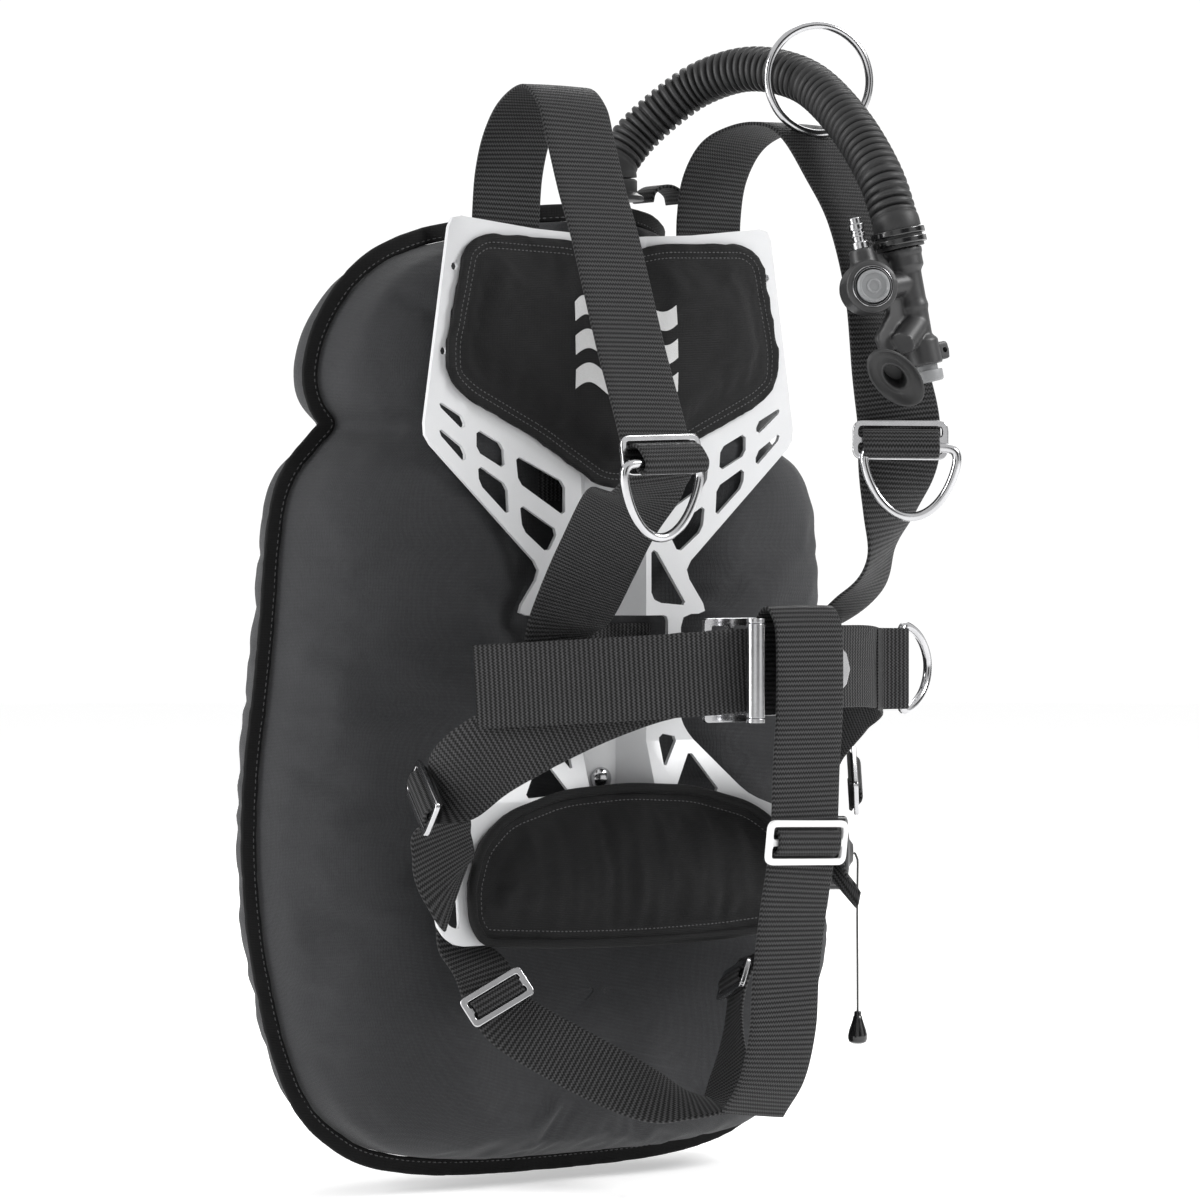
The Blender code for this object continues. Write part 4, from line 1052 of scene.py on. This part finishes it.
def back_pad():
    half = [(0, 190), (35, 197), (100, 199), (114, 190), (127, 130), (126, 109), (112, 97), (60, 72),
            (12, 43)]
    outline = corners_rounded(mirrored(half), 10.0)
    rest = PLATE_FRONT - 0.4
    piece = pad("back_pad_cloth", outline, 11.0, lambda z: np.full_like(z, rest),
                lambda x, z, rim: 0.7 * cloth_noise(x, z, 34, 26, 2.0) + 0.35 * cloth_noise(x, z, 9, 9, 5.0))
    settle(piece, "pad_fabric", "back_pad")
    stitched_border("back_pad_stitch", piece, outline, (PAD_BORDER - 3.5, PAD_BORDER))
    wave_mark(piece)


def wave_mark(piece):
    """Plain printed mark of three wavy bars."""
    tree = surface_of(piece)
    bm = bmesh.new()
    columns = 60
    width = 78
    for bar in range(3):
        height = 104 + 21 * bar
        low_row, high_row = [], []
        for k in range(columns + 1):
            x = width * (k / columns - 0.5)
            z = height + 4.5 * math.sin(x / width * 4 * math.pi)
            for row, level in ((low_row, z), (high_row, z + 12.0)):
                found = laid(tree, x, level, lift=0.45)
                row.append(bm.verts.new(found[0]))
        for k in range(columns):
            bm.faces.new((low_row[k], low_row[k + 1], high_row[k + 1], high_row[k]))
    settle(from_bmesh("wave_print", bm, MARK), "white_slider")


def lumbar_pad():
    half = [(0, -142), (50, -145), (94, -157), (117, -175), (129, -203), (129, -222), (121, -235),
            (60, -239), (16, -240)]
    outline = corners_rounded(mirrored(half), 12.0)

    def rest(z):
        return PLATE_FRONT - hip_forward(z) - 0.5

    def folds(x, z, rim):
        deep = cloth_noise(x, z, 9, 70, 4.0) + 0.5 * cloth_noise(x, z, 4.5, 50, 9.0)
        return 2.6 * deep * smoothstep(6, 22, rim) + 0.6 * cloth_noise(x, z, 14, 14, 1.0)

    piece = pad("lumbar_pad_cloth", outline, 12.0, rest, folds)
    settle(piece, "pad_fabric", "lumbar_pad")
    stitched_border("lumbar_pad_stitch", piece, outline, (PAD_BORDER,))
    rim = inset(outline, 1.6)
    path = np.array([(x, rest(z) - 5.5, z) for x, z in rim])
    path = spline(path, 4.0, closed=True)
    along = tangents(path, True)
    side = units(np.cross(along, (0, 1, 0)))
    rings = round_rings(path, side, np.cross(side, along), PIPING_RADIUS, 12)
    settle(skin("lumbar_piping", rings, TAPE, loop=True), "pad_fabric")


# ---------------------------------------------------------------- tank bands

def tank_bands():
    for tag, height in BAND_HEIGHTS.items():
        flat = -6.6
        half = [(0, flat), (20, flat), (36, flat), (43, -4.5), (50, 5)]
        for a in np.linspace(math.radians(41), math.pi, 13):
            half.append((BAND_RADIUS * math.sin(a), TANK_RADIUS - BAND_RADIUS * math.cos(a)))
        route = half + [(-x, y) for x, y in reversed(half[1:-1])]
        band = ribbon("band_" + tag, [(x, y, height, UP) for x, y in route], WEBBING, loop=True)
        settle(band, "webbing", "tank_band_" + tag)
        settle(refined("cam_frame_" + tag, STEEL, 0.6), "stainless", "cam_frame_" + tag)
        lever = refined("cam_lever_" + tag, PLASTIC, 0.9)
        settle(lever, "black_plastic", "cam_lever_" + tag, body="cam_" + tag)


# ---------------------------------------------------------------- harness webbing

FACING = (0.82, -0.57, 0)
SHOULDER_RIGHT = [
    (-79, -21.5, 186, X_AXIS), (-78, -21.5, 214, X_AXIS), (-78, -25, 238, X_AXIS), (-79, -36, 260, X_AXIS),
    (-80, -54, 277, X_AXIS), (-80, -78, 285, X_AXIS), (-81, -97, 273, X_AXIS), (-82, -107, 253, X_AXIS),
    (-82, -120, 220, X_AXIS), (-82, -134, 190, X_AXIS), (-82, -159, 127, X_AXIS), (-82, -187, 60, X_AXIS),
    (-79, -173, 40, X_AXIS), (-72, -137, 28, (0.74, -0.52, -0.4)), (-60, -93, -2, (0.74, -0.52, -0.43)),
    (-51, -56, -32, (0.9, -0.3, -0.3)), (-47, -34, -50, X_AXIS), (-46, -29, -66, X_AXIS)]
SHOULDER_LEFT = [
    (77, -21.5, 186, X_AXIS), (77, -21.5, 214, X_AXIS), (78, -27, 240, X_AXIS), (80, -44, 260, X_AXIS),
    (84, -72, 269, X_AXIS), (86, -100, 268, X_AXIS), (87, -119, 258, X_AXIS), (88, -140, 234, X_AXIS),
    (88, -164, 203, X_AXIS), (88, -181, 157, X_AXIS), (88, -194, 110, (0.92, -0.35, 0)),
    (88, -202, 71, FACING), (88, -193, 28, (0.9, 0.2, 0)), (88, -184, 2, (0.8, 0.6, 0)),
    (86, -166, -22, (0.85, 0.5, -0.1)), (76, -138, -42, (0.87, 0.45, 0)), (62, -95, -54, (0.9, 0.4, 0)),
    (53, -60, -56, (0.95, 0.2, 0)), (47, -36, -57, X_AXIS), (46, -29, -70, X_AXIS)]
BELT_RIGHT = [
    (-139, -58, -205, (0.1, 0, 1)), (-147, -63, -197, (0.2, 0, 0.97)), (-156, -68, -173, (0.3, -0.1, 0.95)),
    (-159, -76, -147, (0.2, -0.1, 0.95)), (-151, -95, -125, (-0.3, 0.2, 0.9)),
    (-131, -119, -106, (-0.4, 0.3, 0.85)), (-105, -141, -89, (-0.2, 0.1, 0.95)), (-80, -158, -77, UP),
    (-60, -167, -71, UP), (-48, -173, -69, UP)]
BELT_LEFT = [
    (143, -63, -205, (-0.1, -0.1, 1)), (147, -69, -197, (0.2, 0.5, 0.8)), (139, -75, -172, (0.6, 0.8, 0.1)),
    (131, -80, -142, (0.6, 0.8, 0.15)), (122, -94, -110, (0.2, 0.5, 0.85)), (119, -120, -86, UP),
    (115, -148, -72, UP), (90, -172, -67, UP), (50, -187, -66, UP), (12, -194, -66, UP),
    (-22, -195, -67, UP), (-50, -187, -69, UP), (-80, -172, -71, UP), (-107, -152, -73, UP),
    (-132, -128, -75, UP), (-155, -103, -77, UP)]
CROTCH = [
    (14, -187.8, -66, (0.99, 0.1, 0)), (14, -187.8, -42, (0.99, 0.1, 0)), (14, -191, -34, X_AXIS),
    (14, -199, -30, X_AXIS), (14, -206, -37, X_AXIS), (14, -209, -50, X_AXIS), (14, -209, -90, X_AXIS),
    (14, -206, -125, X_AXIS), (14, -203, -170, X_AXIS), (11, -197, -212, X_AXIS), (10, -191, -252, X_AXIS),
    (10, -188, -284, X_AXIS), (8, -180, -314, X_AXIS), (4, -166, -336, X_AXIS)]
LEG_RIGHT = [
    (-125, -43, -224, X_AXIS), (-124, -44.5, -238, X_AXIS), (-120, -57, -251, (0.97, -0.1, 0.15)),
    (-116, -65, -268, (0.88, -0.1, 0.4)), (-106, -73, -283, (0.75, -0.1, 0.6)),
    (-84, -93, -300, (0.5, 0, 0.8)), (-62, -112, -315, (0.4, 0.2, 0.85)),
    (-43, -127, -326, (0.35, 0.5, 0.75)), (-24, -138, -331, (0.3, 0.85, 0.35)),
    (-8, -145, -332, (0.2, 0.95, 0.1))]
LEG_LEFT = [
    (76, -70, -250, (0.4, 0.85, 0.1)), (64, -72, -266, (0.4, 0.85, 0.1)),
    (54, -78, -294, (0.4, 0.85, 0.1)), (40, -92, -318, (0.3, 0.85, 0.3)), (26, -110, -335, (0.2, 0.9, 0.3)),
    (14, -122, -340, (0.2, 0.95, 0.1))]
LEG_WIDTH = 38.0


def on_strap(route, index, lift, side=1):
    """Place on a strap: local Z stands off its face by lift, local X runs across it."""
    p = Vector(route[index][:3])
    tangent = (Vector(route[index + 1][:3]) - Vector(route[index - 1][:3])).normalized()
    across = Vector(route[index][3])
    across = (across - tangent * across.dot(tangent)).normalized()
    normal = across.cross(tangent) * side
    return place_on(p + normal * (WEB_THICK / 2 + lift), normal, across)


def straps():
    for name, route in (
            ("shoulder_strap_right", SHOULDER_RIGHT), ("shoulder_strap_left", SHOULDER_LEFT),
            ("waist_belt_right", BELT_RIGHT), ("waist_belt_left", BELT_LEFT), ("crotch_strap", CROTCH),
            ("leg_strap_right", LEG_RIGHT), ("leg_strap_left", LEG_LEFT)):
        width = LEG_WIDTH if name.startswith("leg") else WEB_WIDTH
        settle(ribbon(name + "_webbing", route, WEBBING, width=width, crown=0.5), "webbing", name)


def fold_over(name, place, ups, width, thick=WEB_THICK):
    """Short length of webbing that passes through a slider's windows, given as local (up, out)."""
    across = tuple(place.col[0].to_3d())
    route = [(*(place @ Vector((0, up, out))), across) for up, out in ups]
    return settle(ribbon(name, route, WEBBING, width=width, thick=thick, step=1.2), "webbing")


def slider(node, place, material, slot, width=58.0, height=24.0, bar=4.0, thick=3.0, radius=5.0):
    """Flat slide with two windows and a centre bar."""
    window_height = (height - 3 * bar) / 2
    offset = (window_height + bar) / 2
    holes = [rectangle(width - 2 * bar, window_height, 2.0, 0, dy) for dy in (offset, -offset)]
    piece = slab(node + "_finish", rectangle(width, height, radius), holes, thick, place, material)
    return settle(piece, slot, node)


def d_shape(bar_centre, across, hang, width, depth):
    """D outline: straight bar along across with tight corners, bow in the direction hang."""
    centre = Vector(bar_centre)
    x = Vector(across).normalized()
    down = Vector(hang)
    down = (down - x * down.dot(x)).normalized()
    half = width / 2
    flat = []
    for a in np.linspace(0.05 * math.pi, 0.95 * math.pi, 60):
        flat.append((half * math.cos(a), depth * math.sin(a) - depth * 0.16))
    flat += [(x0, flat[-1][1]) for x0 in np.linspace(flat[-1][0], flat[0][0], 24)[1:-1]]
    points = np.array(flat)
    for _ in range(14):
        points = (np.roll(points, 1, axis=0) + 2 * points + np.roll(points, -1, axis=0)) / 4
    path = [centre + x * p[0] + down * p[1] for p in points]
    return path, x.cross(down)


def chest(side, route, lift, bar_centre, across, hang, width, depth):
    """Slider, the webbing rolled over its centre bar and the D-ring's bar, and the ring."""
    place = on_strap(route, 11, lift, -1)
    slider("chest_slider_" + side, place, STEEL, "stainless", radius=7.0)
    bar = place.inverted() @ Vector(bar_centre)
    roll = 5.0
    loop = [(5.6, -3.0), (5.2, 1.5), (5.6, 4.6), (0.4 * bar.y + 5.4, 0.8 * bar.z + 1.6)]
    for turn in np.radians((50, 90, 135, 180, 225)):
        loop.append((bar.y + roll * math.cos(turn), bar.z + roll * math.sin(turn)))
    loop += [(-6.0, 4.6), (-5.0, 1.5), (-5.6, -3.0)]
    fold_over("chest_fold_" + side, place, loop, 46.0)
    path, normal = d_shape(bar_centre, across, hang, width, depth)
    ring = wire("chest_ring_" + side, path, normal, 2.75, STEEL)
    settle(ring, "stainless", "chest_d_ring_" + side, body="chest_ring_" + side)


def sliders():
    chest("right", SHOULDER_RIGHT, 1.5, (-89, -202, 55), X_AXIS, (0, 0.05, -1), 58.0, 52.0)
    chest("left", SHOULDER_LEFT, 5.5, (83, -219, 66), FACING, (0, 0.02, -1), 60.0, 50.0)
    over = [(10.0, -2.2), (7.6, -0.6), (4.4, 3.6), (0.0, 4.7), (-4.4, 3.6), (-7.6, -0.6), (-10.0, -2.2)]
    for node, route, index, lift, turn, width in (
            ("shoulder_end_slider_right", SHOULDER_RIGHT, 16, 9.0, -1, 60.0),
            ("shoulder_end_slider_left", SHOULDER_LEFT, 17, 2.0, 1, 60.0),
            ("hip_slider_right", BELT_RIGHT, 3, 12.0, -1, 58.0),
            ("hip_slider_left", BELT_LEFT, 3, 12.0, 1, 58.0)):
        place = on_strap(route, index, lift, turn)
        if node == "shoulder_end_slider_right":
            place = Matrix.Translation((0, 0, -10)) @ place
        slider(node, place, STEEL, "stainless", width=width, radius=5.0)
        fold_over(node + "_fold", place, over, 47.0)
    place = on_strap(CROTCH, 8, 0.8, -1)
    slider("crotch_slider", place, WHITE, "white_slider", width=60.0, height=27.0, radius=6.0)
    fold_over("crotch_fold", place, [(u * 1.08, o) for u, o in over], 47.0)
    place = on_strap(LEG_RIGHT, 3, 2.5, -1)
    slider("leg_slider_right", place, STEEL, "stainless", width=46.0, height=20.0, radius=4.0)
    fold_over("leg_fold_right", place, [(u * 0.8, o) for u, o in over], 35.0, 1.8)
    place = on_strap(LEG_LEFT, 1, 1.5)
    slider("leg_slider_left", place, STEEL, "stainless", width=46.0, height=20.0, radius=4.0)
    fold_over("leg_fold_left", place, [(u * 0.8, o) for u, o in over], 35.0, 1.8)


def waist_ring():
    out = Vector((0.83, -0.55, 0))
    base = Vector((118, -150, -69)) + out * 6.0
    path, normal = d_shape(base + out * 4.0, UP, (0.9, 0.43, 0), 56.0, 46.0)
    ring = wire("waist_ring_wire", path, normal, 2.75, STEEL)
    settle(ring, "stainless", "waist_d_ring", body="waist_ring")
    bar = base + out * 4.0
    wrap = [(97.5, -168.2), (108.5, -158.6), (116.5, -158.0), (bar.x - 2.4, bar.y - 3.4),
            (bar.x + 2.4, bar.y - 3.4), (bar.x + 4.1, bar.y), (bar.x + 1.6, bar.y + 4.0), (122.0, -148.6),
            (120.6, -138.0)]
    keeper = ribbon("waist_keeper", [(x, y, base.z, UP) for x, y in wrap], WEBBING, thick=1.6, step=1.2)
    settle(keeper, "webbing", "waist_ring_keeper")


def belt_buckle():
    """Frame, bright roller with its end pins, and the lever under the crotch strap."""
    place = place_on((-27, -183.8, -67), (0, -1, 0), X_AXIS)
    windows = [rectangle(12, 53, 1.5, -9, 0), rectangle(12, 53, 1.5, 7, 0)]
    frame_piece = slab("buckle_plate", rectangle(40, 62, 3.0), windows, 3.0, place, STEEL, edge=1.1)
    settle(frame_piece, "stainless", "buckle_frame")
    pin = Vector((-22, -203.5, -67))
    place = place_on(pin - Vector((0, 0, 31)), UP, X_AXIS)
    groove = []
    for low, high in ((0.0, 2.4), (3.2, 58.8), (59.6, 62.0)):
        groove += [(5.5, low), (5.5, high), (4.6, high + 0.2), (4.6, high + 0.6)]
    roller = turned("buckle_barrel", [(0, 0), *groove[:-2], (0, 62)], place, STEEL, edge=0.3)
    settle(roller, "stainless", "buckle_roller")
    settle(refined("buckle_lever", STEEL, 0.5), "stainless", "buckle_lever", body="waist_lever")


def carry_handle():
    arch = [(44, 4, 225), (46, 4, 231), (53, 4, 235), (61, 4, 235), (68, 4, 231), (70, 4, 225)]
    loop = ribbon("handle_loop", [(x, y, z, (0, 1, 0)) for x, y, z in arch], WEBBING, width=22.0, step=1.5)
    settle(loop, "webbing", "carry_handle")


# ---------------------------------------------------------------- hose and inflator

INFLATOR = place_on((88, -210, 167), (-0.17, 0.12, 0.975), X_AXIS)
HOSE_END = 20.0
HOSE_RADIUS = 14.2
HOSE_RIB = 5.2
GROOVE_DEPTH = 2.5
HOSE = [(20, 2, 239), (20, 2, 247), (34, -1, 266), (50, -14, 285), (64, -31, 299), (75, -59, 306),
        (82, -88, 303), (86, -120, 291), (85, -158, 264), (82, -190, 232)]
CUFF = 19.0
BIG_RING_RADIUS = 33.5


def local(x, y, z):
    return INFLATOR @ Vector((x, y, z))


def carried_frames(points):
    """Side directions along a path that turn as little as possible."""
    along = tangents(points)
    side = units(np.cross(along[0], (0.0, 0.0, 1.0) if abs(along[0][2]) < 0.9 else (1.0, 0.0, 0.0)))
    sides = []
    for t in along:
        side = units(side - t * np.dot(side, t))
        sides.append(side)
    sides = np.array(sides)
    return sides, np.cross(along, sides)


def hose():
    """Corrugated hose: round ribs with narrow grooves, plain cuffs at both ends."""
    ends = [tuple(local(0, 0, HOSE_END + up)) for up in (18, 9, 0)]
    points = spline(HOSE + ends, 0.65)
    distance = lengths_along(points)
    total = distance[-1]
    turn = (distance / HOSE_RIB + 0.5) % 1.0 - 0.5
    radius = HOSE_RADIUS - GROOVE_DEPTH * np.exp(-(turn / 0.17) ** 2)
    plain = smoothstep(total - CUFF - 1.5, total - CUFF, distance) + 1 - smoothstep(11.0, 12.5, distance)
    radius = radius + (HOSE_RADIUS + 0.3 - radius) * np.clip(plain, 0, 1)
    radius = radius - 0.8 * np.exp(-((distance - total + CUFF) / 0.8) ** 2)
    one, two = carried_frames(points)
    rings = round_rings(points, one, two, radius, 48)
    settle(skin("hose_ribbed", rings, RUBBER, sharp=80), "hose_rubber", "corrugated_hose")
    elbow = [(9.5, 0), (19, 0), (19, 2.6), (16, 4), (14.6, 5), (14.6, 12.6), (13.6, 13.6), (9.5, 13.6)]
    flange = turned("hose_flange", elbow, place_on((20, 2, 225), UP, X_AXIS), PLASTIC)
    settle(flange, "black_plastic", "hose_elbow")
    for tag, z in (("lower", 2.0), ("upper", 7.5)):
        low = HOSE_END + z
        shape = [(14.7, low), (16.0, low), (16.5, low + 0.6), (16.5, low + 3.4), (16.0, low + 4),
                 (14.7, low + 4)]
        band = turned("tie_" + tag, shape, INFLATOR, GLOSSY, edge=0.25)
        settle(band, "black_plastic", "hose_tie_" + tag)


def hose_ring():
    centre = np.array((90.0, -119.0, 296.0))
    flat = np.array(Vector((0.954, -0.3, 0)).normalized())
    angles = np.linspace(0, 2 * np.pi, 97)[:-1]
    path = centre + BIG_RING_RADIUS * (np.cos(angles)[:, None] * flat
                                       + np.sin(angles)[:, None] * np.array(UP))
    ring = wire("big_ring", path, Vector(flat).cross(Vector(UP)), 2.5, STEEL)
    settle(ring, "stainless", "hose_ring", body="hose_loop")


def fused(name, forms, cutters, material, voxel=0.75):
    """One moulding from overlapping closed forms, with the cutters' space taken out."""
    bm = bmesh.new()
    for form in forms:
        bm.from_mesh(evaluated(form).to_mesh())
    mesh = bpy.data.meshes.new(name)
    bm.to_mesh(mesh)
    bm.free()
    piece = new_object(name, mesh, material)
    remesh = piece.modifiers.new("remesh", "REMESH")
    remesh.mode = "VOXEL"
    remesh.voxel_size = voxel * MM
    soft = piece.modifiers.new("soft", "SMOOTH")
    soft.factor = 0.6
    soft.iterations = 5
    for cutter in cutters:
        cut = piece.modifiers.new(cutter.name, "BOOLEAN")
        cut.operation = "DIFFERENCE"
        cut.object = cutter
    final = bpy.data.meshes.new_from_object(evaluated(piece))
    piece.modifiers.clear()
    piece.data = final
    final.materials.clear()
    final.materials.append(material)
    for polygon in final.polygons:
        polygon.material_index = 0
    final.shade_smooth()
    final.set_sharp_from_angle(angle=math.radians(40))
    for used in (*forms, *cutters):
        bpy.data.objects.remove(used, do_unlink=True)
    return piece


def inflator():
    axis = INFLATOR.col[2].to_3d()
    face = Vector((-0.42, -0.9, 0.05)).normalized()
    hub = local(-33, -2, 0)
    hub_place = place_on(hub, face, X_AXIS)
    mouth_axis = Vector((-0.42, -0.8, -0.42)).normalized()
    mouth = local(-39, -14, -47)
    across_arm = local(0, 0, 0) - local(-33, 0, 0)

    def form(name, profile, place, segments=64):
        return turned(name, profile, place, PLASTIC, segments=segments, edge=0)

    def flat(name, outline, thick, x, y, z):
        place = INFLATOR @ place_on((x, y, z), (0, -1, 0), X_AXIS)
        return slab(name, outline, (), thick, place, PLASTIC, edge=0.8)

    tube = [(0, 19.6), (12.4, 19.6), (12.4, 16.2), (11.6, 15.4), (11.6, 8.5), (9.2, 5), (8.7, -12),
            (9.4, -16), (8.4, -19), (7.8, -34), (10.5, -37), (10.6, -52), (0, -52)]
    barrel = [(0, 12), (13.6, 12), (14.4, 11.2), (15.6, 11.2), (16, 10), (16, -9), (14, -12), (0, -12)]
    web = [(-31, 20), (-16, 20), (-9, 6), (-9, -30), (-30, -44), (-34, -30), (-19, -16), (-27, -4)]
    forms = [
        form("form_tube", tube, INFLATOR),
        form("form_hub", barrel, hub_place),
        form("form_arm", [(0, 31), (7.4, 31), (7.4, 4), (9.0, 0), (0, 0)],
             place_on(local(-32, -1, -1), across_arm, UP)),
        form("form_neck", [(0, 24), (7.5, 24), (8.2, 0), (0, 0)],
             place_on(local(0, 0, -26), mouth - local(0, 0, -26), X_AXIS)),
        form("form_boss", [(0, 22.2), (7.2, 22.2), (8.6, 12), (9.3, 0.5), (0, 0.5)],
             place_on(local(-29, 2, 2), axis, X_AXIS)),
        flat("form_web", corners_rounded(web, 3.0), 4.0, 0, 2.5, 0),
        flat("form_tab", rectangle(9, 11, 3.0, 13.5, 0), 7.0, 0, 3.5, -45)]
    cutters = [
        form("cut_button", [(0, 15), (10.6, 15), (10.6, 0), (0, 0)], hub_place),
        form("cut_drain", [(0, 14), (7.6, 14), (7.6, -2), (0, -2)],
             place_on(local(0, 0, -52), axis, X_AXIS), 48),
        form("cut_tab", [(0, 10), (1.7, 10), (1.7, -10), (0, -10)],
             INFLATOR @ place_on((14.5, 0, -45), (0, -1, 0), X_AXIS), 24)]
    settle(fused("inflator_moulding", forms, cutters, PLASTIC), "black_plastic", "inflator_body")
    press = [(0, 6.5), (0, 14.6), (3.0, 14.6), (3.4, 15.1), (4.2, 15.1), (4.6, 14.7), (7.6, 14.9),
             (8.0, 15.7), (9.0, 15.6), (9.9, 14.6), (10, 6.5)]
    settle(turned("button_cap", press, hub_place, GREY, edge=0.15), "grey_plastic", "inflate_button",
           body="inflate_key")
    clip = [(10.8, 12.3), (12.4, 12.3), (12.6, 12.7), (12.3, 13.2), (11.1, 13.2), (10.8, 12.8)]
    settle(turned("button_clip", clip, hub_place, STEEL, edge=0.1), "stainless", "button_retaining_ring")
    drain = [(0, -7), (7, -7), (7, 3.5), (9.2, 3.5), (9.4, 4.2), (9.2, 9.2), (8.2, 10.4), (3.2, 10.4),
             (2.6, 9.4), (0, 9.4)]
    drain_place = place_on(local(0, 0, -52), -axis, X_AXIS)
    settle(turned("drain_cap", drain, drain_place, GREY, edge=0.2), "grey_plastic", "deflate_button",
           body="deflate_key")
    seat = place_on(local(-29, 2, 24.4), axis, X_AXIS)
    nipple = [(0, 0), (5.2, 0), (5.2, 3.6), (4.6, 4.2), (3.7, 4.4), (3.7, 7.2), (4.4, 7.8), (4.4, 9.2),
              (3.7, 9.8), (3.7, 11), (4.8, 11.6), (4.8, 14.6), (4.2, 15.2), (3.8, 15.4), (3.8, 18.4),
              (3.2, 19), (1.4, 19), (1.4, 16), (0, 16)]
    settle(turned("nipple_steel", nipple, seat, STEEL, edge=0.12), "stainless", "lp_nipple")
    lips = [(0, 1.5), (4.4, 1.5), (4.7, 9.6), (5.4, 11.4), (6.2, 11.9), (7.0, 11.4), (8.2, 10.9),
            (10.6, 12.2), (12.0, 14.2), (12.7, 14.4), (13.1, 13.7), (12.6, 12.2), (10.4, 10.2),
            (8.2, 8.6), (7.3, 6.0), (7.2, 0), (0, 0)]
    mouth_place = place_on(mouth + mouth_axis * 8.5, mouth_axis, (0.68, -0.25, -0.78))
    mouthpiece = turned("mouth_lips", lips, mouth_place, RUBBER, oval=1.72, edge=0.25)
    settle(mouthpiece, "black_plastic", "mouthpiece")


# ---------------------------------------------------------------- dump valve

def ribbed_cap(name, profile, place, material, ribs, depth, low, high, segments=192):
    """Turned cap with grip ribs on its side wall between two heights."""
    rings = []
    for radius, height in profile:
        grip = float(smoothstep(low, low + 1.2, height) * (1 - smoothstep(high - 1.2, high, height)))
        ring = []
        for k in range(segments):
            a = 2 * math.pi * k / segments
            cut = depth * grip * max(0.0, -math.cos(ribs * a)) ** 0.5 if radius > 15 else 0.0
            r = radius - cut
            ring.append(tuple(place @ Vector((r * math.cos(a), r * math.sin(a), height))))
        rings.append(ring)
    return skin(name, np.array(rings), material, loop=True, sharp=38)


def dump_valve():
    place = place_on(VALVE_SEAT, VALVE_AXIS, UP)
    base = [(11, 0.2), (27, 0.2), (27, 1.2), (26, 2.0), (21, 2.8), (20, 3.4), (20, 6), (11, 6)]
    settle(turned("valve_flange", base, place, PLASTIC), "black_plastic", "dump_valve_base")
    side = [(24.0, h) for h in (6.6, 7.4, 8.2, 9.5, 11.0, 12.5, 14.0, 15.5, 16.4, 17.2)]
    profile = [(2.4, 17.5), (2.4, 22.3), (2.9, 22.8), (5.6, 22.8), (6.4, 22.2), (9, 20.4), (16, 19.4),
               (22, 19.0), (23.4, 18.4), *reversed(side), (21.2, 6.6), (21, 15.5), (3.5, 15.5)]
    cap = ribbed_cap("valve_cap", profile, place, PLASTIC, 22, 1.5, 6.4, 17.6)
    settle(cap, "black_plastic", "dump_valve_cap")


def inner_pieces():
    """Springs and disc that sit inside other pieces keep their CAD shape."""
    for names, material in ((("inflate_spring", "deflate_spring", "dump_spring"), STEEL),
                            (("dump_poppet",), RUBBER)):
        for name in names:
            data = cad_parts[name].data
            data.materials.clear()
            data.materials.append(material)


# ---------------------------------------------------------------- build

wing()
binding()
plate()
plate_bolts()
back_pad()
lumbar_pad()
tank_bands()
straps()
sliders()
waist_ring()
belt_buckle()
carry_handle()
hose()
hose_ring()
inflator()
dump_valve()
inner_pieces()
